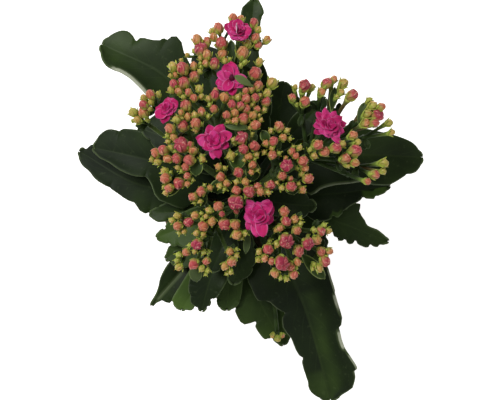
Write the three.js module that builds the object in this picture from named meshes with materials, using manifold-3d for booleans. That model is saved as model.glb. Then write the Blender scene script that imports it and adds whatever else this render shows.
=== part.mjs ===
// A potted flaming katy (Kalanchoe blossfeldiana, double-flowered) in a plain round pot.
// Millimetres, +Z up, origin at the centre of the pot's underside, +X to the right seen from above.
import * as THREE from "three";
import Module from "manifold-3d";

const wasm = await Module();
wasm.setup();

// Pot and soil
const POT = { rim: 49, body: 46, base: 35, height: 86, rimDepth: 9, wall: 1.8, floor: 4.2, foot: 1.8 };
const DRAIN = { count: 4, radius: 3.5, circle: 20 };
const SOIL = { top: 77, bottom: 4.5, gap: 0.3, hole: 5.1, holeBottom: 60 };

// Main stem
const STEM = { bottom: 60.3, top: 120, low: 4.7, high: 3.7 };
const CLEAN = 0.03;
const SEAT = 0.3;

// Colours
const GREEN = { dark: 0x26401f, mid: 0x35592a, bright: 0x6f9a3c };
const STALK_GREEN = 0x6d8a3a;
const BUD_CORAL = 0xcf6a62;
const BLOOM_MAGENTA = 0xc2208a;
const POT_BROWN = 0x8a4a32;
const SOIL_BROWN = 0x33261b;

// Leaves: z is the height of the leaf stalk on the stem; path is the start, middle and tip of the blade;
// fold is the rise in degrees of the inner and outer half on the left, then on the right.
// Left and right are the edges. One that was measured is a list of lobes from the stalk to the tip, each a
// list of [share of the length, half width] that starts at its notch. One that is hidden in the photograph
// is [half width, where along the blade it is widest].
const LEAVES = [
  { z: 103, path: [[24.8, 14, 112], [57.9, 22.8, 120], [98.5, 22.4, 113]],
    lobes: 5, fold: [6, 2, 8, 18],
    left: [
      [[0.14, 9.5], [0.28, 15.5], [0.42, 18], [0.56, 15.5], [0.7, 13], [0.83, 11], [0.92, 8.5],
        [0.96, 6], [0.98, 3.5]],
    ],
    right: [
      [[0.05, 11], [0.12, 16.5], [0.23, 14.5], [0.31, 14.5]],
      [[0.47, 15.5], [0.57, 15], [0.67, 17]],
      [[0.77, 17], [0.83, 14], [0.87, 11.5]],
      [[0.9, 10], [0.92, 9.5], [0.95, 8.5], [0.97, 6.5], [0.99, 3.5]],
    ],
  },
  { z: 95, path: [[26.2, 1.1, 102], [54.9, 2.3, 107], [81, 6.2, 106]],
    lobes: 5, fold: [5, 5, 5, 12],
    left: [
      [[0.14, 7], [0.38, 12.5], [0.71, 10.5], [0.92, 4.5]],
    ],
    right: [
      [[0.11, 10], [0.26, 15.5], [0.37, 14.5]],
      [[0.39, 12.5], [0.43, 13.5], [0.46, 13]],
      [[0.49, 10], [0.56, 7.5], [0.63, 6]],
      [[0.7, 4], [0.78, 5], [0.82, 5.5]],
      [[0.84, 4.5], [0.88, 4], [0.93, 3.5], [0.97, 1.8]],
    ],
  },
  { z: 90, path: [[24.1, -6.9, 96], [50.1, -13.6, 102], [80.9, -25.1, 98]],
    lobes: 5, fold: [4, 4, 4, 4], tone: "mid",
    left: [
      [[0.15, 5.5], [0.36, 9], [0.58, 12.5], [0.67, 14]],
      [[0.68, 10], [0.69, 9], [0.75, 6], [0.78, 4], [0.82, 3.5], [0.87, 3.5], [0.92, 2.6], [0.97, 1.3]],
    ],
    right: [
      [[0.12, 6], [0.31, 9.5], [0.45, 8.5]],
      [[0.51, 6], [0.53, 7.5], [0.56, 8.5]],
      [[0.57, 8.5], [0.6, 10], [0.62, 9.5]],
      [[0.65, 8], [0.67, 9], [0.7, 9.5], [0.72, 9.5]],
      [[0.74, 6.5], [0.76, 7.5], [0.8, 8], [0.83, 8], [0.86, 7.5]],
      [[0.87, 5.5], [0.9, 5.5], [0.94, 5]],
      [[0.95, 3.5], [0.97, 2.3], [0.99, 1.2]],
    ],
  },
  { z: 112, path: [[11, -2, 119], [24, -4, 125], [38, -5, 125]],
    left: [9, 0.5], right: [9, 0.5], lobes: 3, fold: [10, 5, 10, 5] },
  { z: 91, path: [[18, 18, 99], [34, 29, 107], [49, 39, 109]],
    left: [10, 0.5], right: [10, 0.5], lobes: 3, fold: [5, 5, 5, 5] },
  { z: 110, path: [[15, 24, 119], [31, 40, 127], [44, 54, 126]],
    left: [7, 0.6], right: [7, 0.6], lobes: 3, fold: [8, 5, 8, 5] },
  { z: 87, path: [[7, 20, 95], [17, 42, 101], [23, 63, 100]],
    left: [11, 0.5], right: [14, 0.6], lobes: 3, fold: [4, 4, 4, 4] },
  { z: 96, path: [[4, 27, 105], [4, 54, 115], [3, 84, 118]],
    left: [16, 0.7], right: [10.5, 0.42], lobes: 3, fold: [5, 5, 5, 5] },
  { z: 105, path: [[1.2, 36.1, 120], [1.8, 74, 131], [4.5, 108.3, 129]],
    lobes: 5, fold: [12, 6, 12, 6], tone: "mid",
    left: [
      [[0.1, 2.9], [0.37, 4.5], [0.59, 6], [0.74, 7], [0.86, 6.5], [0.92, 6]],
      [[0.96, 5], [0.97, 3.5], [0.98, 2.1]],
    ],
    right: [
      [[0.13, 4.5], [0.38, 6.5], [0.54, 5.5], [0.64, 4.5], [0.79, 4.5], [0.83, 4.5]],
      [[0.87, 5.5], [0.9, 6], [0.94, 5], [0.96, 4], [0.99, 2.3]],
    ],
  },
  { z: 100, path: [[-7, 26, 107], [-17, 52, 112], [-24, 84, 112]],
    left: [13, 0.7], right: [17, 0.7], lobes: 3, fold: [5, 5, 5, 5] },
  { z: 91, path: [[-14.8, 29.1, 100], [-44.4, 67, 110], [-80.9, 86.1, 108]],
    lobes: 5, fold: [10, 45, 6, -4],
    left: [
      [[0.13, 9.5], [0.31, 16], [0.51, 17], [0.62, 15], [0.75, 12], [0.81, 11.5]],
      [[0.84, 12], [0.89, 11.5], [0.94, 9], [0.98, 4.5]],
    ],
    right: [
      [[0.2, 7], [0.37, 11.5], [0.5, 16.5], [0.54, 19], [0.56, 21.5], [0.58, 22.5], [0.61, 22],
        [0.62, 20.5]],
      [[0.63, 18], [0.65, 18], [0.66, 16], [0.69, 14.5], [0.73, 13.5], [0.77, 13], [0.79, 12]],
      [[0.8, 10], [0.84, 12], [0.88, 13], [0.92, 12], [0.97, 8], [0.99, 4.5]],
    ],
  },
  { z: 109, path: [[-13, 14, 118], [-33, 28, 124], [-57, 37.5, 121]],
    left: [10, 0.5], right: [17, 0.7], lobes: 3, fold: [5, 5, 5, 5] },
  { z: 97, path: [[-19.2, 7.9, 105], [-53.2, 20.2, 114], [-85.6, 27.6, 109]],
    lobes: 5, fold: [6, 14, 6, 2],
    left: [
      [[0.07, 12], [0.18, 20], [0.36, 19.5], [0.43, 13.5], [0.47, 10.5]],
      [[0.51, 9.5], [0.55, 10], [0.61, 10.5], [0.73, 9], [0.84, 6], [0.93, 4.5], [0.98, 2.3]],
    ],
    right: [
      [[0.17, 10.5], [0.36, 16.5], [0.54, 14.5], [0.64, 15], [0.74, 14.5], [0.79, 14]],
      [[0.82, 12.5], [0.87, 12.5], [0.91, 12], [0.95, 10], [0.98, 7], [0.99, 4]],
    ],
  },
  { z: 87, path: [[-21.2, 1.2, 94], [-62.1, 7.4, 100], [-95, 25.9, 97]],
    lobes: 5, fold: [5, 5, 5, 5],
    left: [
      [[0.1, 10], [0.23, 14], [0.32, 14.5]],
      [[0.38, 14], [0.4, 15], [0.43, 14.5], [0.45, 12.5], [0.48, 10.5], [0.51, 10.5], [0.61, 9]],
      [[0.67, 8.5], [0.76, 8.5], [0.8, 8], [0.86, 6.5], [0.92, 6], [0.96, 4.5], [0.99, 1.7]],
    ],
    right: [
      [[0.14, 10], [0.38, 16.5], [0.67, 16], [0.82, 11.5], [0.93, 8], [0.96, 6]],
      [[0.97, 3.5], [0.99, 2.8]],
    ],
  },
  { z: 93, path: [[-18.2, -5.1, 101], [-33.9, -7.9, 107], [-54.1, -9.3, 106]],
    lobes: 4, fold: [5, 5, 5, 5],
    left: [
      [[0.23, 4.5], [0.46, 6.5], [0.63, 6.5]],
      [[0.76, 5], [0.88, 5], [0.95, 3.5], [0.99, 1.8]],
    ],
    right: [
      [[0.17, 5.5], [0.48, 6.5], [0.75, 5.5]],
      [[0.89, 3.5], [0.97, 1.9]],
    ],
  },
  { z: 106, path: [[-16.8, -7.9, 114], [-31.2, -15.1, 117], [-49.6, -22.6, 114]],
    lobes: 4, fold: [5, 5, 5, 5], tone: "bright",
    left: [
      [[0.17, 5.5], [0.42, 11]],
      [[0.55, 14.5], [0.66, 13], [0.72, 10]],
      [[0.77, 8.5], [0.85, 7.5]],
      [[0.88, 5.5], [0.94, 4.5], [0.98, 3]],
    ],
    right: [
      [[0.15, 5.5], [0.39, 7.5], [0.64, 7.5]],
      [[0.77, 6.5], [0.82, 4.5]],
      [[0.86, 3], [0.91, 3], [0.96, 2]],
    ],
  },
  { z: 99, path: [[-15.8, -13, 107], [-29.8, -24.2, 110], [-45, -34.7, 107]],
    lobes: 4, fold: [5, 5, 5, 5], tone: "mid",
    left: [
      [[0.18, 6.5], [0.5, 11.5], [0.73, 11.5]],
      [[0.88, 9.5], [0.94, 6.5]],
      [[0.98, 3], [0.99, 1.8]],
    ],
    right: [
      [[0.17, 4], [0.44, 5.5], [0.69, 5]],
      [[0.84, 5], [0.91, 3.5], [0.97, 1.6]],
    ],
  },
  { z: 86, path: [[-17.2, -20.1, 94], [-34.2, -39.9, 100], [-53.8, -62.1, 96]],
    lobes: 4, fold: [16, 2, 30, 24],
    left: [
      [[0.16, 9], [0.5, 16.5], [0.69, 14.5]],
      [[0.78, 11.5], [0.82, 9]],
      [[0.84, 7], [0.87, 6.5], [0.89, 4.5]],
      [[0.9, 2.9], [0.93, 0.8], [0.96, 0.1]],
    ],
    right: [
      [[0.09, 6], [0.34, 9.5], [0.56, 9.5], [0.73, 7.5], [0.82, 4.5], [0.89, 2.5], [0.96, 1.4]],
    ],
  },
  { z: 94.5, path: [[-11.9, -23.9, 102.5], [-24.8, -45.3, 106.5], [-36.3, -63.8, 103.5]],
    lobes: 4, fold: [5, 5, 5, 5], tone: "bright",
    left: [
      [[0.21, 8], [0.52, 9]],
      [[0.69, 8.5], [0.78, 7.5]],
      [[0.88, 5.5], [0.94, 4.5], [0.96, 1.5]],
    ],
    right: [
      [[0.14, 4.5], [0.5, 8], [0.81, 8]],
      [[0.98, 7.5], [0.99, 5]],
    ],
  },
  { z: 112, path: [[-8, -13, 120], [-13, -27, 126], [-19, -41, 125]],
    left: [9, 0.55], right: [9, 0.55], lobes: 3, fold: [14, 8, 14, 8], tone: "mid" },
  { z: 103, path: [[-8.9, -23.1, 111], [-19, -43.2, 114], [-24.7, -63.8, 110]],
    lobes: 4, fold: [5, 5, 5, 5],
    left: [
      [[0.17, 7], [0.5, 9]],
      [[0.7, 7.5], [0.8, 5.5]],
      [[0.83, 3.5], [0.89, 3.5]],
      [[0.94, 2.5], [0.98, 1.2]],
    ],
    right: [
      [[0.12, 5.5], [0.4, 9.5], [0.62, 11]],
      [[0.7, 11], [0.78, 10]],
      [[0.84, 8.5], [0.92, 7.5]],
      [[0.98, 4.5], [0.99, 2.3]],
    ],
  },
  { z: 91, path: [[-6.3, -25.1, 99.5], [-9.1, -44.9, 103], [-10.8, -63.8, 100]],
    lobes: 4, fold: [5, 5, 5, 5],
    left: [
      [[0.19, 6.5], [0.46, 7.5], [0.72, 7.5]],
      [[0.86, 7], [0.94, 5], [0.98, 2.2]],
    ],
    right: [
      [[0.11, 5], [0.41, 8.5], [0.66, 11]],
      [[0.76, 11], [0.85, 9.5]],
      [[0.86, 6.5], [0.94, 5.5], [0.98, 3.5]],
    ],
  },
  { z: 108, path: [[-2, -17, 116], [-3, -33, 120], [-7, -48, 118]],
    left: [9, 0.55], right: [9, 0.55], lobes: 3, fold: [5, 5, 5, 5] },
  { z: 86, path: [[1.2, -23.5, 93], [6.3, -54.8, 96.5], [21.2, -84.5, 95]],
    lobes: 5, fold: [4, 4, 4, 4],
    left: [
      [[0.18, 7], [0.48, 11], [0.74, 10]],
      [[0.89, 8], [0.96, 6.5], [0.99, 3.5]],
    ],
    right: [
      [[0.15, 7], [0.33, 12.5], [0.48, 15.5]],
      [[0.55, 14.5], [0.58, 15.5], [0.63, 15.5], [0.68, 15], [0.7, 13.5], [0.71, 10.5]],
      [[0.72, 7.5], [0.76, 9], [0.85, 8.5], [0.89, 7.5], [0.9, 5.5]],
      [[0.91, 4], [0.94, 3.5], [0.98, 2]],
    ],
  },
  { z: 101, path: [[14.7, -22, 109], [33.1, -62.8, 114], [47.5, -114.5, 107]],
    lobes: 5, fold: [10, 34, 6, 2],
    left: [
      [[0.06, 10], [0.1, 20], [0.14, 29]],
      [[0.17, 27.5], [0.2, 28]],
      [[0.22, 26.5], [0.26, 26], [0.3, 23.5]],
      [[0.32, 22], [0.4, 21], [0.46, 20.5]],
      [[0.47, 20], [0.53, 19.5], [0.58, 19.5], [0.61, 19], [0.62, 18.5]],
      [[0.64, 16], [0.7, 15.5], [0.74, 16], [0.8, 18.5], [0.86, 20.5]],
      [[0.87, 18.5], [0.9, 18], [0.93, 16.5], [0.96, 14], [0.97, 10], [0.99, 5.5]],
    ],
    right: [
      [[0.06, 12], [0.11, 19]],
      [[0.14, 22], [0.22, 23.5], [0.29, 23.5], [0.34, 23], [0.36, 21]],
      [[0.37, 18.5], [0.38, 17], [0.42, 15.5], [0.45, 13.5]],
      [[0.48, 11.5], [0.51, 14], [0.57, 15], [0.62, 12.5], [0.7, 11.5], [0.74, 10]],
      [[0.75, 9], [0.77, 10], [0.8, 10]],
      [[0.84, 10], [0.88, 9.5], [0.91, 10], [0.93, 9.5], [0.96, 7.5], [0.98, 5]],
    ],
  },
];
const LEAF = { thick: 1.6, stalk: 1.7, blunt: 0.55, depth: 1.3, ripple: 0.8 };

// Sprays: fork is the top of the flower stalk; each group is its height and then its buds, as
// [x, y, radius, ripeness from 0 to 5], with those that stand for it in the solid first;
// blooms are [x, y, z, radius]; small leaves are [x, y, z of the foot, x, y, z of the tip, half width];
// lean is how far the groups tip out, drop is how far the knot lies under its buds, ahead is the way
// the fork points, and low is the height where a stalk leaves the main stem.
const SPRAYS = [
  {
    fork: [-6, 50, 150],
    groups: [
      [180, [-12.5, 86, 2.4, 3], [-6.5, 92.5, 2.1, 3], [-15, 78, 1, 0], [-11.5, 80, 2.9, 4],
        [-17, 85, 1.5, 1], [-16, 81.5, 1.9, 2]],
      [180, [5, 81.5, 2.2, 3], [-2.5, 92, 1.8, 2], [-3.5, 82.5, 1.2, 1], [3, 88.5, 2.1, 4],
        [11, 81, 2, 2], [0, 80, 2.2, 1], [6.5, 86, 1.6, 1], [6.5, 78, 1.9, 3]],
      [180, [-22.5, 75, 2.9, 5], [-30, 73, 1.1, 1], [-20, 80, 2.1, 3], [-24, 80, 2.6, 2],
        [-26.5, 75, 1.1, 0]],
      [184, [-20, 68.5, 1.7, 2], [-12, 73.5, 2.5, 2], [-23.5, 64.5, 1.3, 1], [-16, 68, 2.5, 4],
        [-20, 72.5, 2.2, 2], [-23, 70.5, 1.3, 1], [-23, 68, 0.8, 0], [-23, 66.5, 0.8, 0]],
      [183, [-2.5, 67, 1.2, 0], [-10.5, 69.5, 1.6, 1], [-1.5, 73.5, 3, 2], [-0.5, 69, 1.3, 0],
        [-8, 70.5, 0.9, 0]],
      [183, [5, 63, 3.1, 4], [7, 69, 1.9, 1]],
    ],
    blooms: [[-4, 85, 185, 7.5]],
    leaves: [],
  },
  {
    fork: [-14, 33, 150],
    groups: [
      [182, [-32, 65.5, 2.9, 4], [-26, 62, 2.5, 3], [-37, 66.5, 2.3, 1], [-26.5, 67, 2, 2],
        [-33, 70, 1, 1], [-36, 62.5, 1.4, 2]],
      [184, [-36.5, 57.5, 2, 4], [-31.5, 58, 2.8, 4], [-38.5, 62, 1.1, 1], [-34, 54, 2, 2],
        [-38, 54, 1.7, 1]],
      [187, [-27, 50.5, 1.9, 3], [-23.5, 55, 1.9, 1], [-31.5, 50.5, 1.3, 0], [-22.5, 51, 1.5, 1],
        [-28.5, 52.5, 1.8, 3]],
      [189, [-18, 47, 1.2, 0], [-14, 51, 2.3, 4], [-16, 44.5, 2, 3], [-18, 49.5, 1.5, 1]],
      [188, [-9.5, 54.5, 2.4, 2], [-8.5, 50.5, 1.1, 0], [-13, 55, 1.5, 2], [-7, 56, 1.3, 1]],
    ],
    blooms: [[-7, 60.5, 189, 8.4]],
    leaves: [],
  },
  {
    fork: [3.5, 29, 152],
    groups: [
      [189, [0, 50, 2.2, 3], [6, 56, 2.3, 3], [-4, 54, 1.1, 1], [4.5, 50, 2.1, 4], [2.5, 54.5, 1.7, 2],
        [3.5, 47, 1.5, 1], [-0.5, 54.5, 1.6, 3], [-3.5, 51.5, 1.8, 1]],
      [185, [11, 52.5, 2.1, 1], [13.5, 58, 2.6, 1], [10.5, 48.5, 2.3, 4], [7.5, 51.5, 1.4, 1]],
      [191, [-6, 43, 2, 2], [-8.5, 38.5, 1.4, 1], [-7, 47, 2.1, 4], [-5, 39, 1.8, 2], [-4, 45.5, 2, 4],
        [-8.5, 41.5, 2, 3]],
      [190, [4, 41, 2, 2], [9.5, 44, 1.2, 1], [2.5, 35, 1.2, 1], [-1, 39.5, 2.7, 4], [0.5, 44.5, 2.1, 3],
        [7.5, 39, 1.2, 1], [6, 44.5, 1.6, 3], [5, 36.5, 2.5, 3], [6.5, 41, 1, 1]],
    ],
    blooms: [],
    leaves: [[2.5, 56.5, 191.5, -5.5, 61, 195, 2], [1, 35, 187, -11, 37, 188, 2.3]],
  },
  {
    fork: [-23, 17, 148],
    groups: [
      [177, [-49, 48.5, 1.4, 1], [-45, 53, 1.4, 1], [-52.5, 51, 1.6, 1], [-49, 52.5, 2.2, 3],
        [-52.5, 47.5, 2.2, 4], [-49.5, 45.5, 1.3, 1]],
      [174, [-56, 40, 1.9, 1], [-51, 40, 1.2, 0], [-58, 43.5, 2.3, 1], [-53, 43, 2.6, 3],
        [-58, 39.5, 1, 0]],
      [186, [-32.5, 43.5, 1.5, 2], [-30.5, 46.5, 2.6, 4], [-30, 40.5, 1.9, 2], [-35.5, 41, 1.9, 1],
        [-28.5, 44, 0.8, 0], [-32.5, 40, 1.2, 1], [-34.5, 43.5, 1.1, 0]],
      [189, [-25, 37, 2.6, 3], [-19, 41, 1.3, 0], [-25.5, 41.5, 1.7, 1], [-23.5, 33, 1.5, 1],
        [-22.5, 43, 2, 3], [-21.5, 35.5, 1, 0]],
      [185, [-36.5, 30, 1.9, 2], [-32, 36.5, 2.8, 4], [-38.5, 34.5, 2.5, 3], [-39.5, 28.5, 1.3, 1],
        [-39.5, 31, 1.4, 0]],
      [188, [-24.5, 24.5, 2.2, 2], [-31.5, 26, 3.3, 5], [-28, 19.5, 2.8, 4], [-21.5, 20, 1.7, 1],
        [-28, 26, 1.5, 4], [-20.5, 23, 1.3, 0]],
      [184, [-39.5, 20, 2.2, 2], [-34.5, 15, 1.6, 1], [-38, 25, 1.5, 1], [-35.5, 19.5, 2.5, 4],
        [-41.5, 23, 2.5, 4], [-36, 23, 0.9, 0]],
      [179, [-48, 19, 1.2, 1], [-46, 22.5, 2.3, 3], [-45.5, 18, 1.8, 1]],
      [186, [-29.5, 10.5, 1.8, 3], [-30.5, 15, 2, 3], [-29.5, 6.5, 1.5, 2], [-27, 8.5, 1, 0],
        [-32.5, 13, 1, 0]],
      [181, [-41, 9.5, 2.6, 3], [-34, 7, 2.9, 4], [-41, 2, 1.4, 1], [-41.5, 13, 1.9, 1],
        [-39, 4.5, 2.2, 3], [-42, 5, 0.9, 0], [-38.5, 12.5, 0.9, 0]],
    ],
    blooms: [[-40.5, 45.5, 183, 7.4], [-16, 28.5, 190, 9]],
    leaves: [[-25, 21, 183, -25.5, 10.5, 184, 3.7], [-34, 5, 176, -40.5, 0.5, 176, 1.6]],
  },
  {
    fork: [-4, 9, 154],
    groups: [
      [190, [-9.5, 28.5, 1.2, 1], [-11, 24, 2.3, 1], [-7.5, 28, 1.4, 1]],
      [192, [4.5, 25.5, 2.5, 4], [-3.5, 29, 2.8, 5], [3.5, 32, 0.8, 0], [1.5, 20.5, 2, 2],
        [-1, 24, 2.4, 4], [5.5, 21.5, 1.5, 1]],
      [191, [3.5, 16, 2, 3], [-0.5, 18.5, 1, 1], [3, 12.5, 1.5, 2], [6, 13.5, 1, 0], [4.5, 19, 1, 0]],
      [190, [-12.5, 10, 2.3, 3], [-10.5, 4, 1.3, 0], [-13.5, 15, 1.8, 2], [-9.5, 7, 1.9, 2],
        [-13, 5.5, 1.6, 1], [-10.5, 14.5, 1.2, 1]],
      [192, [-2.5, 9.5, 0.8, 0], [0, 7.5, 2, 2], [-3.5, 12, 2.5, 4], [-4.5, 7.5, 1.5, 1]],
      [192, [2, 2, 2.9, 4], [-4.5, -2.5, 3.4, 5], [-4.5, 3, 2.3, 3], [3, -2.5, 1.3, 0]],
      [191, [7.5, 1, 1.9, 2], [5.5, -5, 2.4, 3], [12, 5, 2.4, 4], [9, -3, 1.5, 1], [6.5, 4, 2, 3],
        [10, 1, 1.4, 1]],
    ],
    blooms: [],
    leaves: [[-3, 23, 186, -5, 14, 186, 4.2], [3.5, 18.5, 181, 4, 8, 180, 4],
      [-14, 8, 180, -14.5, 1.5, 179, 4.2]],
  },
  {
    fork: [14, 12, 151],
    groups: [
      [188, [19, 30, 1.9, 2], [13, 33.5, 1.4, 1], [17, 35.5, 2.4, 3], [21, 33.5, 1.5, 1],
        [22.5, 29.5, 1.2, 0]],
      [190, [13.5, 24.5, 1.3, 1], [9.5, 22.5, 1.3, 1], [17, 22, 1.2, 0], [10.5, 27, 1.7, 2],
        [14, 27.5, 2.3, 4], [13.5, 21.5, 2.2, 3]],
      [186, [26, 20.5, 1.7, 3], [30, 15, 2, 2], [24.5, 25.5, 1, 0], [28.5, 18.5, 2.5, 3],
        [26.5, 14.5, 1, 0], [27.5, 25, 1.5, 1], [24, 22.5, 1.9, 3]],
      [189, [20.5, 16, 2.8, 5], [20.5, 19.5, 1.1, 2]],
      [189, [18.5, 10.5, 2.2, 3], [23, 5.5, 2.5, 4], [18.5, 4.5, 1.5, 1], [23, 9, 1.2, 3],
        [16, 7, 1.1, 1]],
      [185, [27, 6.5, 1.1, 1], [31.5, 9.5, 2.6, 3], [29, 3.5, 1.9, 2], [29, 11.5, 1.4, 1],
        [25.5, 4.5, 0.9, 0]],
    ],
    blooms: [],
    leaves: [[11.5, 27.5, 183, 8.5, 34, 185, 2.6], [23.5, 8, 178, 25, 1, 177, 4]],
  },
  {
    fork: [-15, -12, 149],
    groups: [
      [187, [-22.5, 2.5, 2.4, 3], [-26, -3, 1, 0], [-18, 4.5, 1.6, 2], [-26.5, 0, 2.2, 3],
        [-21, 6, 0.8, 0], [-23, -2.5, 1.3, 1]],
      [182, [-34.5, -15, 2.2, 3], [-29, -13, 2.5, 4], [-35, -10, 1.8, 1], [-31.5, -18, 1.3, 1],
        [-37.5, -12, 1.5, 1], [-34, -18.5, 1.1, 0]],
      [188, [-20, -10, 1.3, 1], [-25.5, -9.5, 1.9, 2], [-17, -12.5, 2.2, 2], [-18.5, -7, 1.8, 1],
        [-22.5, -8.5, 1, 0], [-22, -11.5, 1, 0]],
      [185, [-21.5, -19, 1.3, 1], [-21.5, -15, 2.6, 3], [-25, -18.5, 1.6, 1]],
      [190, [-13.5, -5, 2.5, 3], [-12, -8.5, 1.5, 4]],
      [189, [-2, -13.5, 2.5, 3], [-10, -14, 3, 4], [-2, -21, 1, 0], [-4.5, -7.5, 1.4, 4],
        [-4.5, -18, 2.5, 2], [0.5, -17.5, 1.5, 1]],
      [182, [-24.5, -24, 2.5, 5], [-21.5, -28.5, 1.4, 0], [-26, -28, 1.3, 1], [-28.5, -25, 1.2, 0],
        [-22.5, -21, 1, 0]],
      [178, [-34.5, -30.5, 1.5, 0], [-34.5, -35.5, 1.9, 1], [-30.5, -28.5, 2, 3], [-35, -33, 1.3, 0]],
      [180, [-22.5, -37, 1.6, 1], [-19, -28.5, 1.2, 0], [-26.5, -34.5, 2.5, 4], [-20, -33, 1.9, 3],
        [-20.5, -40, 0.9, 0], [-19.5, -38, 1.2, 0]],
      [184, [-7, -33, 2.4, 3], [-9.5, -39.5, 1, 0], [-4.5, -27, 1, 0], [-10.5, -35.5, 2, 2],
        [-8, -28, 2, 2], [-4.5, -30, 1.3, 1], [-7.5, -38.5, 1.3, 1]],
    ],
    blooms: [],
    leaves: [[-26.5, -35, 172, -25.5, -44.5, 170, 3.4], [-23, 4, 176, -24, -5.5, 175, 4]],
  },
  {
    fork: [16, -15, 149],
    groups: [
      [189, [16, -15, 1.8, 2], [15.5, -8.5, 2.4, 3], [20.5, -12, 2.5, 4], [12.5, -14, 1.4, 1]],
      [187, [28, -13.5, 1.3, 0], [26, -17, 2.3, 3], [25, -11.5, 2, 2], [28, -11, 0.9, 0]],
      [189, [20.5, -22, 3.3, 5], [16, -24, 1.7, 1]],
      [188, [11.5, -26.5, 2.6, 4], [6.5, -32, 1.4, 1], [10.5, -31.5, 1.8, 2], [7, -28, 1.6, 1],
        [12.5, -22.5, 1.1, 0]],
      [187, [18, -33, 3.3, 5], [13, -32.5, 1.8, 3]],
      [182, [18, -41.5, 1.2, 0], [15, -39, 2.2, 2], [21, -42, 1.4, 1]],
      [184, [25.5, -36, 1.2, 0], [24.5, -39.5, 2.2, 3], [23, -35.5, 2.3, 3], [26.5, -33.5, 1.9, 2]],
      [186, [27, -27.5, 2.7, 4], [31.5, -23.5, 2.7, 5]],
      [182, [38.5, -17.5, 2.2, 4], [32, -20.5, 1.1, 0], [36.5, -22, 2.3, 2], [42.5, -17.5, 1.6, 1],
        [35, -17, 1.4, 1], [40.5, -14.5, 1.2, 0]],
      [180, [39, -28.5, 2.2, 3], [40.5, -32.5, 2.6, 4], [43, -28, 1.8, 2]],
      [179, [35.5, -35, 1.2, 0], [37.5, -36.5, 1.9, 1], [34.5, -37, 1, 0]],
    ],
    blooms: [[7, -9.5, 192, 10]],
    leaves: [[29.5, -30, 172, 41.5, -43, 168, 3.4], [1.5, -18, 180, 0, -29.5, 176, 1.9]],
  },
  {
    fork: [30, 19, 146], lean: 0.3,
    groups: [
      [179, [30, 56.5, 2.6, 5], [26.5, 48, 0.8, 0], [30.5, 49, 2.5, 3], [25.5, 56.5, 1.4, 1],
        [34, 56.5, 1.8, 1], [24, 51, 1.9, 3]],
      [176, [41.5, 58, 2.5, 4], [39.5, 54.5, 2.1, 2]],
      [175, [49.5, 54, 1.7, 1], [45.5, 60.5, 1.9, 2], [50.5, 58.5, 2.3, 1], [47.5, 52, 1.3, 0]],
      [175, [55, 52.5, 2.8, 4]],
      [173, [66, 47.5, 2.1, 1], [68, 42, 2.6, 5], [69.5, 46, 2, 3], [64.5, 50, 1.5, 0]],
      [174, [62.5, 38, 2.3, 2], [63, 43, 2.1, 1], [66.5, 38.5, 2.1, 4]],
      [170, [74.5, 38.5, 1.9, 1], [76, 33.5, 1.6, 1]],
      [184, [39.5, 31, 2.6, 3], [46, 25, 2.6, 4], [40.5, 23, 2.5, 3], [45, 33.5, 1.8, 1]],
      [183, [33, 24, 1.3, 0], [36, 26.5, 2.1, 2], [35, 21, 1.7, 1]],
      [180, [55, 31.5, 2.1, 2], [57.5, 28, 1.6, 1]],
      [180, [56, 17.5, 2.1, 2], [56, 23.5, 2.8, 4], [51, 19.5, 2.4, 3], [52.5, 16, 1.2, 1]],
      [174, [71, 13, 1.5, 1], [71.5, 17.5, 2.2, 1], [67, 11.5, 2.3, 3]],
      [174, [63, 8, 1.8, 3]],
    ],
    blooms: [[43, 36.5, 184, 9.2]],
    leaves: [],
  },
  {
    fork: [12, -30, 100], ahead: [0.25, -0.95, 0.1], low: 95.5, drop: 3, lean: 0.03,
    groups: [
      [104, [18, -80, 1.6, 1], [15.5, -78.5, 1.4, 1], [20.5, -78.5, 1.3, 2]],
    ],
    blooms: [],
    leaves: [],
  },
];
// Buds made in each group: the middle one and those furthest out. All of them are placed, so these keep
// their true size and the room between them.
const MADE = { least: 1.5, share: 0.25 };
const CYME = { drop: 13, lean: 0.12, branch: 1.1, knot: 1.7, bent: 36, hub: 2.7, root: 1.6 };
const BUD = { foot: 1.15, tip: 1.4, rise: 0.5, dome: 0.06, lean: 0.02 };

// The same draw on every run
let drawState = 20231;
function draw() {
  drawState = (drawState * 1664525 + 1013904223) % 4294967296;
  return drawState / 4294967296;
}

function vec(x, y, z) {
  return new THREE.Vector3(x, y, z);
}

// Closed solids

function solidOf(positions, index) {
  let volume = 0;
  const p = (i) => vec(positions[3 * i], positions[3 * i + 1], positions[3 * i + 2]);
  for (let i = 0; i < index.length; i += 3) {
    volume += p(index[i]).dot(p(index[i + 1]).cross(p(index[i + 2])));
  }
  const turned = index.slice();
  if (volume < 0) {
    for (let i = 0; i < turned.length; i += 3) {
      [turned[i + 1], turned[i + 2]] = [turned[i + 2], turned[i + 1]];
    }
  }
  const mesh = new wasm.Mesh({
    numProp: 3,
    vertProperties: new Float32Array(positions),
    triVerts: new Uint32Array(turned),
  });
  return new wasm.Manifold(mesh);
}

// Solids as one body; edges shorter than CLEAN are drawn together.
function fuse(solids) {
  let whole = solids[0];
  for (const solid of solids.slice(1)) {
    whole = whole.add(solid);
  }
  return whole.simplify(CLEAN);
}

function meshOf(solid, name, colour, roughness) {
  const got = solid.getMesh();
  const positions = new Float32Array(got.numVert * 3);
  for (let i = 0; i < got.numVert; i += 1) {
    positions[3 * i] = got.vertProperties[i * got.numProp];
    positions[3 * i + 1] = got.vertProperties[i * got.numProp + 1];
    positions[3 * i + 2] = got.vertProperties[i * got.numProp + 2];
  }
  const geometry = new THREE.BufferGeometry();
  geometry.setAttribute("position", new THREE.BufferAttribute(positions, 3));
  geometry.setIndex(Array.from(got.triVerts));
  const material = new THREE.MeshStandardMaterial({ color: colour, roughness, metalness: 0 });
  const mesh = new THREE.Mesh(geometry, material);
  mesh.name = name;
  return mesh;
}

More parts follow.
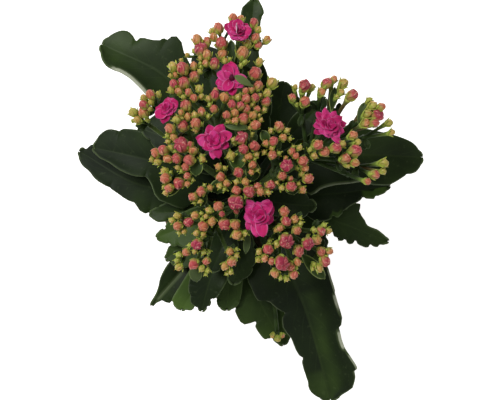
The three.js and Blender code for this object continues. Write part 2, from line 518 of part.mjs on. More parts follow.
// Rings of equal counts joined in order; a ring of one point closes an end.
function loft(rings) {
  const positions = [];
  const starts = [];
  for (const ring of rings) {
    starts.push(positions.length / 3);
    for (const point of ring) {
      positions.push(point.x, point.y, point.z);
    }
  }
  const index = [];
  for (let k = 0; k + 1 < rings.length; k += 1) {
    const a = starts[k];
    const b = starts[k + 1];
    const count = Math.max(rings[k].length, rings[k + 1].length);
    for (let i = 0; i < count; i += 1) {
      const j = (i + 1) % count;
      if (rings[k].length > 1) {
        index.push(a + i, a + j, rings[k + 1].length > 1 ? b + i : b);
      }
      if (rings[k + 1].length > 1) {
        index.push(b + i, rings[k].length > 1 ? a + j : a, b + j);
      }
    }
  }
  return solidOf(positions, index);
}

// A ring of points round a centre, square to a direction
function ringAt(centre, direction, radius, sides) {
  const axis = direction.clone().normalize();
  const across = vec(1, 0, 0).addScaledVector(axis, -axis.x);
  if (across.length() < 0.3) {
    across.set(0, 1, 0).addScaledVector(axis, -axis.y);
  }
  across.normalize();
  const along = axis.clone().cross(across);
  const ring = [];
  for (let i = 0; i < sides; i += 1) {
    const angle = (2 * Math.PI * i) / sides;
    ring.push(
      centre
        .clone()
        .addScaledVector(across, radius * Math.cos(angle))
        .addScaledVector(along, radius * Math.sin(angle)),
    );
  }
  return ring;
}

// A tapered stalk through some points, with flat ends; the last may be square to a direction of its own
function stalk(points, radii, sides, lastWay) {
  const rings = [[points[0]]];
  points.forEach((point, k) => {
    const before = points[Math.max(k - 1, 0)];
    const after = points[Math.min(k + 1, points.length - 1)];
    const way = lastWay && k === points.length - 1 ? lastWay : after.clone().sub(before);
    rings.push(ringAt(point, way, radii[k], sides));
  });
  rings.push([points[points.length - 1]]);
  return loft(rings);
}

// A turned body: the profile is [radius, height] and starts and ends on the axis.
function turned(profile, segments, lift) {
  const rings = profile.map(([radius, height]) => {
    if (radius === 0) {
      return [vec(0, 0, height)];
    }
    const ring = [];
    for (let i = 0; i < segments; i += 1) {
      const angle = (2 * Math.PI * i) / segments;
      const z = height + (lift ? lift(radius, angle, height) : 0);
      ring.push(vec(radius * Math.cos(angle), radius * Math.sin(angle), z));
    }
    return ring;
  });
  return loft(rings);
}

// Pot and soil

function potSolid() {
  const rimStart = POT.height - POT.rimDepth;
  const profile = [
    [0, 0],
    [12, 0],
    [13.5, POT.foot],
    [27, POT.foot],
    [28.5, 0],
    [POT.base, 0],
    [POT.body, rimStart],
    [POT.rim, rimStart + 1],
    [POT.rim, POT.height],
    [POT.rim - POT.wall, POT.height],
    [POT.body - POT.wall, rimStart],
    [POT.base - POT.wall, POT.floor],
    [0, POT.floor],
  ];
  let pot = turned(profile, 24);
  for (let i = 0; i < DRAIN.count; i += 1) {
    const angle = (2 * Math.PI * i) / DRAIN.count;
    const x = DRAIN.circle * Math.cos(angle);
    const y = DRAIN.circle * Math.sin(angle);
    const hole = stalk([vec(x, y, -1), vec(x, y, POT.floor + 1)], [DRAIN.radius, DRAIN.radius], 8);
    pot = pot.subtract(hole);
  }
  return pot;
}

function soilRadius(height) {
  const rimStart = POT.height - POT.rimDepth;
  const share = (height - POT.floor) / (rimStart - POT.floor);
  const inner = POT.base - POT.wall + share * (POT.body - POT.base);
  return inner - SOIL.gap - 0.2;
}

function soilSolid() {
  const crumbs = (radius, angle, height) => {
    if (height !== SOIL.top) {
      return 0;
    }
    const wave = Math.sin(radius * 0.9 + 3 * Math.sin(angle * 2)) + Math.cos(angle * 7 + radius * 0.4);
    return wave * 0.6 - radius * 0.02;
  };
  const profile = [
    [0, SOIL.bottom],
    [soilRadius(SOIL.bottom), SOIL.bottom],
    [soilRadius(SOIL.top) - 0.2, SOIL.top - 2],
    [soilRadius(SOIL.top) - 1.2, SOIL.top],
    [32, SOIL.top],
    [18, SOIL.top],
    [SOIL.hole, SOIL.top],
    [SOIL.hole, SOIL.holeBottom],
    [0, SOIL.holeBottom],
  ];
  return turned(profile, 16, crumbs);
}

// Leaves

// Half width of a blade at a share of its length
function halfWidth(share, full, widest, blunt) {
  const power = Math.log(0.5) / Math.log(widest);
  const swell = Math.sin(Math.PI * Math.min(Math.max(share, 0), 1) ** power) ** blunt;
  const stalkWidth = LEAF.stalk * (1 - share);
  return stalkWidth + Math.max(0, (full - stalkWidth) * swell);
}

// Shares of the length where a blade has a rib point; a regular edge has its notches there
function stationsOf(leaf) {
  const stations = [];
  for (let k = 0; k <= leaf.lobes; k += 1) {
    stations.push(0.02 + 0.95 * (1 - (1 - k / (leaf.lobes + 0.35)) ** 1.15));
  }
  return stations;
}

// The points of an edge: [share of the length, half width, 1 in a notch and 0 elsewhere]
function edgeOf(leaf, side) {
  if (Array.isArray(side[0])) {
    const points = side.flatMap((lobe, k) => (
      lobe.map(([u, width], i) => [u, width, k > 0 && i === 0 ? 1 : 0])
    ));
    return [[0.01, LEAF.stalk + 0.3, 0], ...points];
  }
  const [full, widest] = side;
  const blunt = leaf.blunt ?? LEAF.blunt;
  const depth = leaf.depth ?? LEAF.depth;
  const points = [];
  const stations = stationsOf(leaf);
  stations.forEach((u, k) => {
    const notch = k > 0 ? 1 : 0;
    const next = stations[k + 1] ?? 1;
    points.push([u, halfWidth(u, full, widest, blunt) - depth * notch * Math.min(1, u * 4), notch]);
    for (const step of k < leaf.lobes && leaf.lobes > 3 ? [0.3, 0.75] : [0.5]) {
      const v = u + step * (next - u);
      points.push([v, halfWidth(v, full, widest, blunt), 0]);
    }
  });
  return points;
}

// Half the width of a blade between the points of its edge
function widthAt(outline, share) {
  const after = Math.max(1, outline.findIndex(([u]) => u > share));
  const [u0, w0] = outline[after - 1];
  const [u1, w1] = outline[after] ?? [1, 0];
  return w0 + ((share - u0) / (u1 - u0)) * (w1 - w0);
}

// Triangles between two lines of points, each point with its share of the length
function zip(a, b, turnedOver, out) {
  let i = 0;
  let j = 0;
  while (i + 1 < a.length || j + 1 < b.length) {
    const nextA = i + 1 < a.length ? a[i + 1].share : Infinity;
    const nextB = j + 1 < b.length ? b[j + 1].share : Infinity;
    const triangle = nextA <= nextB ? [a[i].id, a[i + 1].id, b[j].id] : [a[i].id, b[j + 1].id, b[j].id];
    if (nextA <= nextB) {
      i += 1;
    } else {
      j += 1;
    }
    if (new Set(triangle).size === 3) {
      out.push(...(turnedOver ? [triangle[0], triangle[2], triangle[1]] : triangle));
    }
  }
}

// A blade as a closed solid: the same triangles on both faces
function blade(points, triangles, thick) {
  const normals = points.map(() => vec(0, 0, 0));
  for (let i = 0; i < triangles.length; i += 3) {
    const [a, b, c] = triangles.slice(i, i + 3);
    const normal = points[b].clone().sub(points[a]).cross(points[c].clone().sub(points[a]));
    [a, b, c].forEach((k) => normals[k].add(normal));
  }
  const positions = [];
  points.forEach((point) => positions.push(point.x, point.y, point.z));
  points.forEach((point, k) => {
    const under = point.clone().addScaledVector(normals[k].normalize(), -thick(k));
    positions.push(under.x, under.y, under.z);
  });
  const count = points.length;
  const edges = new Set();
  const index = triangles.slice();
  for (let i = 0; i < triangles.length; i += 3) {
    const [a, b, c] = triangles.slice(i, i + 3);
    index.push(a + count, c + count, b + count);
    [[a, b], [b, c], [c, a]].forEach(([from, to]) => edges.add(`${from} ${to}`));
  }
  for (const edge of edges) {
    const [from, to] = edge.split(" ").map(Number);
    if (!edges.has(`${to} ${from}`)) {
      index.push(to, from, from + count, to, from + count, to + count);
    }
  }
  return solidOf(positions, index);
}

function leafSolid(leaf) {
  const [start, middle, tip] = leaf.path.map((point) => vec(...point));
  const turn = Math.atan2(start.y, start.x);
  const share = (leaf.z - STEM.bottom) / (STEM.top - STEM.bottom);
  const out = STEM.low + share * (STEM.high - STEM.low) + SEAT;
  const butt = vec(out * Math.cos(turn), out * Math.sin(turn), leaf.z);
  const curve = new THREE.CatmullRomCurve3([butt, start, middle, tip], false, "centripetal");
  const at = (u) => {
    const t = (1 + 2 * u) / 3;
    const centre = curve.getPoint(t);
    const ahead = curve.getTangent(t);
    const side = vec(-ahead.y, ahead.x, 0).normalize();
    return { centre, side, up: ahead.clone().cross(side) };
  };
  const points = [];
  const put = (point, u) => {
    points.push(point);
    return { id: points.length - 1, share: u };
  };
  // A place on one side: reach 1 is the edge, 0.5 the fold between the two halves
  const onSide = (u, sign, reach, width, wave) => {
    const { centre, side, up } = at(u);
    const ease = Math.min(1, u * 4);
    const inner = THREE.MathUtils.degToRad(leaf.fold[sign > 0 ? 0 : 2] * ease);
    const outer = THREE.MathUtils.degToRad(leaf.fold[sign > 0 ? 1 : 3] * ease);
    const near = Math.min(reach, 0.5) * width;
    const far = Math.max(reach - 0.5, 0) * width;
    return centre
      .addScaledVector(side, sign * (near * Math.cos(inner) + far * Math.cos(outer)))
      .addScaledVector(up, near * Math.sin(inner) + far * Math.sin(outer) + wave * ease);
  };
  const rib = [put(butt, -0.5)];
  const stations = stationsOf(leaf);
  stations.forEach((u) => rib.push(put(at(u).centre, u)));
  const end = put(at(1).centre, 1);
  rib.push(end);
  const triangles = [];
  for (const sign of [1, -1]) {
    const across = vec(-Math.sin(turn), Math.cos(turn), 0);
    const outline = edgeOf(leaf, sign > 0 ? leaf.left : leaf.right);
    const edge = [put(butt.clone().addScaledVector(across, sign * LEAF.stalk), -0.5)];
    for (const [u, width, notch] of outline) {
      edge.push(put(onSide(u, sign, 1, width, LEAF.ripple * (0.5 - notch)), u));
    }
    edge.push(end);
    const mid = [rib[0]];
    stations.forEach((u) => mid.push(put(onSide(u, sign, 0.5, widthAt(outline, u), 0), u)));
    mid.push(end);
    zip(edge, mid, sign > 0, triangles);
    zip(mid, rib, sign > 0, triangles);
  }
  const thick = (k) => (points[k].z === leaf.z && points[k].distanceTo(butt) < 3 ? 2.4 : LEAF.thick);
  return blade(points, triangles, thick);
}

// Sprays of buds and blooms

// The buds of every spray, pushed apart until none touches another or a bloom
function placeBuds() {
  const buds = [];
  SPRAYS.forEach((spray, s) => {
    spray.groups.forEach(([z, ...own], g) => {
      const [middleX, middleY] = middleOf(own);
      own.forEach(([x, y, radius, ripe], i) => {
        const lift = BUD.rise * ripe - BUD.dome * ((x - middleX) ** 2 + (y - middleY) ** 2);
        const made = i < MADE.least + own.length * MADE.share;
        buds.push({ spray: s, group: g, made, at: vec(x, y, z + lift), radius });
      });
    });
  });
  const blooms = SPRAYS.flatMap((spray) => spray.blooms).map(([x, y, z, radius]) => {
    return { at: vec(x, y, z - 0.15 * radius), radius };
  });
  for (let round = 0; round < 40; round += 1) {
    for (let i = 0; i < buds.length; i += 1) {
      for (let j = i + 1; j < buds.length; j += 1) {
        const apart = buds[j].at.clone().sub(buds[i].at);
        const space = buds[i].spray === buds[j].spray ? 1 : 1.2;
        const short = (buds[i].radius + buds[j].radius) * space + 0.3 - apart.length();
        if (short > 0) {
          apart.z *= 2.5;
          apart.normalize().multiplyScalar(short / 2);
          buds[j].at.add(apart);
          buds[i].at.sub(apart);
        }
      }
      for (const bloom of blooms) {
        const apart = buds[i].at.clone().sub(bloom.at);
        const short = buds[i].radius + bloom.radius + 0.5 - apart.length();
        if (short > 0) {
          buds[i].at.addScaledVector(apart.normalize(), short);
        }
      }
    }
  }
  return buds;
}

// The middle of a group of buds, seen from above
function middleOf(buds) {
  return [0, 1].map((k) => buds.reduce((sum, bud) => sum + bud[k], 0) / buds.length);
}

// The way a bud points: away from its knot, up, and outwards near the edge of the flower head
function budAxis(bud, knot) {
  const axis = bud.at.clone().sub(knot).normalize();
  return axis.add(vec(bud.at.x * BUD.lean, (bud.at.y - 8) * BUD.lean, 1.2)).normalize();
}

// Triangles between two rings of the same count, out of the body
function stitch(from, to, index) {
  from.forEach((a, i) => {
    const j = (i + 1) % from.length;
    index.push(a, from[j], to[i], to[i], from[j], to[j]);
  });
}

// A small group of buds: a knot with the branch below it and a bud on each side and on top
function groupSolid(knot, buds, hub) {
  const positions = [];
  const index = [];
  const put = (point) => {
    positions.push(point.x, point.y, point.z);
    return positions.length / 3 - 1;
  };
  const fromKnot = (bud) => Math.hypot(bud.at.x - knot.x, bud.at.y - knot.y);
  const round = buds.slice().sort((a, b) => fromKnot(a) - fromKnot(b));
  const middle = round.shift();
  const turnOf = (bud) => Math.atan2(bud.at.y - knot.y, bud.at.x - knot.x);
  round.sort((a, b) => turnOf(a) - turnOf(b));
  const sides = Math.max(4, round.length);
  const step = (2 * Math.PI) / sides;
  const first = round.length ? turnOf(round[0]) - step / 2 : 0;
  const corner = (k, lift) => {
    const angle = first + k * step;
    return put(vec(Math.cos(angle) * CYME.knot, Math.sin(angle) * CYME.knot, lift).add(knot));
  };
  const low = [];
  const high = [];
  for (let k = 0; k < sides; k += 1) {
    low.push(corner(k, -CYME.knot * 0.7));
    high.push(corner(k, CYME.knot * 0.7));
  }
  // The faces that carry a bud are those nearest to it, in turn
  const faces = new Array(sides).fill(null);
  let next = 0;
  round.forEach((bud, k) => {
    const wanted = Math.round((turnOf(bud) - first - step / 2) / step);
    const slot = Math.min(Math.max(wanted, next), sides - round.length + k);
    faces[slot] = bud;
    next = slot + 1;
  });
  const budOn = (ring, bud, angles) => {
    const axis = budAxis(bud, knot);
    const out = vec(Math.cos(angles[0]), Math.sin(angles[0]), 0);
    out.addScaledVector(axis, -axis.dot(out)).normalize();
    const along = axis.clone().cross(out);
    const ringOf = (lift, radius) => angles.slice(1).map((angle) => {
      const centre = bud.at.clone().addScaledVector(axis, lift * bud.radius);
      centre.addScaledVector(out, radius * bud.radius * Math.cos(angle));
      return put(centre.addScaledVector(along, radius * bud.radius * Math.sin(angle)));
    });
    const neck = ringOf(-BUD.foot, 0.4);
    const belly = ringOf(0, 1.1);
    const top = put(bud.at.clone().addScaledVector(axis, bud.radius * BUD.tip));
    stitch(ring, neck, index);
    stitch(neck, belly, index);
    belly.forEach((a, i) => index.push(a, belly[(i + 1) % belly.length], top));
  };
  faces.forEach((bud, k) => {
    const j = (k + 1) % sides;
    const ring = [low[k], low[j], high[j], high[k]];
    if (bud) {
      const quarter = Math.PI / 4;
      budOn(ring, bud, [first + (k + 0.5) * step, -quarter, quarter, 3 * quarter, 5 * quarter]);
    } else {
      index.push(ring[0], ring[1], ring[2], ring[0], ring[2], ring[3]);
    }
  });
  budOn(high, middle, [first, ...high.map((id, k) => k * step)]);
  // The branch, from the knot down to the top of the stalk
  const bend = branchBend(hub, knot);
  const root = branchRoot(hub, knot);
  const down = (centre, ahead, radius) => {
    const across = vec(Math.cos(first), Math.sin(first), 0);
    across.addScaledVector(ahead, -ahead.dot(across)).normalize();
    const along = ahead.clone().cross(across);
    return low.map((id, k) => put(
      centre.clone()
        .addScaledVector(across, radius * Math.cos(k * step))
        .addScaledVector(along, radius * Math.sin(k * step)),
    ));
  };
  const endRing = down(root, bend.clone().sub(root).normalize(), CYME.branch);
  if (knot.distanceTo(hub) > CYME.bent) {
    const bendRing = down(bend, knot.clone().sub(hub).normalize(), CYME.branch);
    stitch(bendRing, low, index);
    stitch(endRing, bendRing, index);
  } else {
    stitch(endRing, low, index);
  }
  for (let k = 1; k + 1 < sides; k += 1) {
    index.push(endRing[0], endRing[k + 1], endRing[k]);
  }
  return solidOf(positions, index);
}

function stalkTop(spray) {
  const fork = vec(...spray.fork);
  const ahead = vec(...(spray.ahead ?? [fork.x * 0.5, fork.y * 0.5, 34])).normalize();
  return { fork, ahead, hub: fork.clone().addScaledVector(ahead, 7) };
}

// Where a branch bends on its way from the top of the stalk, which it leaves steeply
function branchBend(hub, end) {
  const [x, y] = [hub.x + (end.x - hub.x) * 0.45, hub.y + (end.y - hub.y) * 0.45];
  return vec(x, y, hub.z + (end.z - hub.z) * 0.55);
}

// Where a branch leaves the swollen top of the stalk
function branchRoot(hub, end) {
  return hub.clone().addScaledVector(branchBend(hub, end).sub(hub).normalize(), CYME.root);
}

function branchTo(hub, end, radius) {
  const points = [branchRoot(hub, end), branchBend(hub, end), end];
  return stalk(points, [radius, radius * 0.95, radius * 0.85], 4);
}

function smallLeaf(root, tip, half) {
  const mid = root.clone().lerp(tip, 0.6);
  mid.z += 1.2;
  const ahead = tip.clone().sub(root);
  const side = vec(-ahead.y, ahead.x, 0).normalize();
  const on = (point, reach, lift) => point.clone().addScaledVector(side, reach).add(vec(0, 0, lift));
  const points = [
    on(root, 0.8, 0), root.clone(), on(root, -0.8, 0),
    on(mid, half, 0.9), mid, on(mid, -half, 0.9),
    on(mid.clone().lerp(tip, 0.6), half * 0.75, 0.6), tip, on(mid.clone().lerp(tip, 0.6), -half * 0.75, 0.6),
  ];
  const triangles = [0, 1, 3, 1, 4, 3, 1, 2, 5, 1, 5, 4, 3, 4, 6, 4, 7, 6, 4, 5, 8, 4, 8, 7];
  return blade(points, triangles, () => 0.9);
}

function bloomAxis(spray, x, y) {
  const fork = vec(...spray.fork);
  return vec(x * 0.004 + (x - fork.x) * 0.008, y * 0.004 + (y - fork.y) * 0.008, 1).normalize();
}

function spraySolid(spray, s, buds) {
  const { fork, ahead, hub } = stalkTop(spray);
  const foot = fork.clone().addScaledVector(ahead, SEAT);
  const parts = [loft([
    [foot],
    ringAt(foot, ahead, 1.6, 6),
    ringAt(hub.clone().addScaledVector(ahead, -2.2), ahead, CYME.hub, 6),
    ringAt(hub.clone().addScaledVector(ahead, 1.4), ahead, CYME.hub * 0.9, 6),
    [hub.clone().addScaledVector(ahead, 3.2)],
  ])];
  spray.groups.forEach(([z, ...own], g) => {
    const [x, y] = middleOf(own);
    const lean = spray.lean ?? CYME.lean;
    const knot = vec(x - (x - hub.x) * lean, y - (y - hub.y) * lean, z - (spray.drop ?? CYME.drop));
    const made = buds.filter((bud) => bud.spray === s && bud.group === g && bud.made);
    parts.push(groupSolid(knot, made, hub));
  });
  spray.blooms.forEach(([x, y, z, radius]) => {
    const axis = bloomAxis(spray, x, y);
    const base = vec(x, y, z).addScaledVector(axis, -radius * 0.45);
    const cup = base.clone().addScaledVector(axis, -SEAT);
    parts.push(branchTo(hub, cup.clone().addScaledVector(axis, -4.4), 1));
    parts.push(stalk(
      [cup.clone().addScaledVector(axis, -4.8), cup.clone().addScaledVector(axis, -2.6), cup],
      [0.9, 1.9, 1.6],
      5,
    ));
  });
  spray.leaves.forEach(([x, y, z, tipX, tipY, tipZ, half]) => {
    const root = vec(x, y, z);
    const tip = vec(tipX, tipY, tipZ);
    parts.push(branchTo(hub, root.clone(), 0.9));
    const out = tip.clone().sub(root).normalize();
    parts.push(smallLeaf(root.clone().addScaledVector(out, -1.5).add(vec(0, 0, 0.4)), tip, half));
  });
  return fuse(parts);
}

// One layer of petals: a thin cone cut into rounded petals
function petalLayer(centre, axis, turn, layer, radius) {
  const across = vec(1, 0, 0).addScaledVector(axis, -axis.x).normalize();
  const along = axis.clone().cross(across);
  const tilt = THREE.MathUtils.degToRad(layer.tilt);
  const outline = [[0, 0.42], [0.2, 0.86], [0.5, 1], [0.8, 0.86]];
  const points = [centre.clone()];
  for (let i = 0; i < layer.count; i += 1) {
    const size = radius * layer.length * (0.9 + 0.2 * draw());
    for (const [step, reach] of outline) {
      const angle = turn + (2 * Math.PI * (i + step)) / layer.count;
      points.push(
        centre
          .clone()
          .addScaledVector(across, size * reach * Math.cos(tilt) * Math.cos(angle))
          .addScaledVector(along, size * reach * Math.cos(tilt) * Math.sin(angle))
          .addScaledVector(axis, size * reach * Math.sin(tilt)),
      );
    }
  }
  const triangles = [];
  for (let i = 0; i < layer.count; i += 1) {
    const notch = 1 + 4 * i;
    const next = 1 + ((4 * i + 4) % (4 * layer.count));
    triangles.push(0, notch, next);
    triangles.push(notch, notch + 1, notch + 2, notch, notch + 2, notch + 3, notch, notch + 3, next);
  }
  return blade(points, triangles, () => 0.7);
}

function bloomSolid(spray, [x, y, z, radius]) {
  const axis = bloomAxis(spray, x, y);
  const base = vec(x, y, z).addScaledVector(axis, -radius * 0.45);
  const tall = radius * 0.62;
  const parts = [stalk([base, base.clone().addScaledVector(axis, tall * 0.75)], [1.5, 1], 4)];
  const layers = [
    { count: 6, tilt: 10, length: 1, height: 0.35 },
    { count: 5, tilt: 36, length: 0.8, height: 0.52 },
    { count: 3, tilt: 60, length: 0.56, height: 0.7 },
  ];
  for (const layer of layers) {
    const centre = base.clone().addScaledVector(axis, tall * layer.height);
    parts.push(petalLayer(centre, axis, draw() * 6.28, layer, radius));
  }
  return fuse(parts);
}

// Main stem with the lower part of each flower stalk
function stemSolid() {
  const heights = [STEM.bottom, 82, 100, STEM.top];
  const points = heights.map((z) => vec(0, 0, z));
  const radii = heights.map((z) => {
    const share = (z - STEM.bottom) / (STEM.top - STEM.bottom);
    return STEM.low + share * (STEM.high - STEM.low);
  });
  const parts = [stalk(points, radii, 8)];
  SPRAYS.forEach((spray) => {
    const { fork, ahead } = stalkTop(spray);
    const far = Math.hypot(fork.x, fork.y);
    const start = vec(fork.x / far, fork.y / far, 0).multiplyScalar(1.6);
    start.z = spray.low ?? STEM.top - 3.5;
    const curve = new THREE.CubicBezierCurve3(
      start,
      vec(start.x + fork.x * 0.3, start.y + fork.y * 0.3, start.z + (fork.z - start.z) * 0.45),
      fork.clone().addScaledVector(ahead, -(fork.z - start.z) * 0.35),
      fork,
    );
    const way = [0, 0.5, 1].map((t) => curve.getPoint(t));
    parts.push(stalk(way, [2, 1.8, 1.6], 4, ahead));
  });
  return fuse(parts);
}

const plant = new THREE.Group();
plant.name = "potted_flaming_katy";
plant.add(meshOf(potSolid(), "pot", POT_BROWN, 0.8));
plant.add(meshOf(soilSolid(), "soil", SOIL_BROWN, 0.95));
plant.add(meshOf(stemSolid(), "stem", STALK_GREEN, 0.6));
LEAVES.forEach((leaf, i) => {
  const name = `leaf_${String(i + 1).padStart(2, "0")}`;
  plant.add(meshOf(leafSolid(leaf), name, GREEN[leaf.tone ?? "dark"], 0.4));
});
const buds = placeBuds();
let bloomCount = 0;
SPRAYS.forEach((spray, s) => {
  const name = `spray_${String(s + 1).padStart(2, "0")}`;
  plant.add(meshOf(spraySolid(spray, s, buds), name, BUD_CORAL, 0.5));
});
SPRAYS.forEach((spray) => {
  spray.blooms.forEach((bloom) => {
    bloomCount += 1;
    plant.add(meshOf(bloomSolid(spray, bloom), `bloom_${bloomCount}`, BLOOM_MAGENTA, 0.5));
  });
});

export default plant;
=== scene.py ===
import math

import bmesh
import bpy
import numpy as np
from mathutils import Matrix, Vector, noise


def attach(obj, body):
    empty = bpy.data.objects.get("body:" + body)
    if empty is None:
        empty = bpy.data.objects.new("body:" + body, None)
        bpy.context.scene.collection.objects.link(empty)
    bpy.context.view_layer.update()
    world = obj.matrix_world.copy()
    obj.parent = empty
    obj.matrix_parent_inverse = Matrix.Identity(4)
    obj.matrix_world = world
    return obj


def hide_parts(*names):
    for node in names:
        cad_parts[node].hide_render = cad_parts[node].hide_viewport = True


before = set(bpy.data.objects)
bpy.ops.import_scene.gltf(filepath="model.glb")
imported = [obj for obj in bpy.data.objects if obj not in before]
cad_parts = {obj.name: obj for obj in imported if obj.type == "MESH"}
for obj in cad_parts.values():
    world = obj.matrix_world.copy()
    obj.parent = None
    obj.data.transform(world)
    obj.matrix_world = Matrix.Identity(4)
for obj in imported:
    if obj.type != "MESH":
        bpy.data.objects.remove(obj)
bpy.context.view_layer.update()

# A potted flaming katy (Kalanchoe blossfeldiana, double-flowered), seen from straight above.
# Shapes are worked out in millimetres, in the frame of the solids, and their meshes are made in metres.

MM = 0.001

# The view: straight down, with the focal length in pixels of a picture of this width
CAMERA = dict(place=(2.3, -1.7, 930), focal_pixels=1456, picture_width=500, sensor=36, near=0.01, far=20)

# The studio, in metres and watts
LIGHTS = dict(
    key=dict(place=(-0.45, 0.35, 1.1), size=0.45, power=9),
    fill=dict(place=(0.7, -0.5, 0.9), size=0.9, power=1.6),
)
LIT_SPOT = (0, 0, 0.14)
SKY = 0.26
FLOOR = dict(reach=3.0, height=-0.0004)

# Pot, soil and main stem
POT = dict(
    rim=49, body=46, base=35, height=86, rim_depth=9, wall=1.8, floor=4.2, round_off=0.7, sides=160,
    foot=1.8, groove=(12, 28.5), slope=1.5,
)
DRAIN = dict(count=4, radius=3.5, circle=20, sides=32)
SOIL = dict(top=77, bottom=4.5, gap=0.5, hole=5.1, hole_bottom=60, sides=96, rows=34)
CRUMBS = dict(count=420, least=0.5, most=1.7, white=0.12, sides=7)
STEM = dict(bottom=60.3, top=120, low=4.7, high=3.7, under_leaf=0.16, stalk=(2.0, 1.6), rows=60, sides=24,
            stalk_rows=18, stalk_sides=12)
SEAT = 0.3

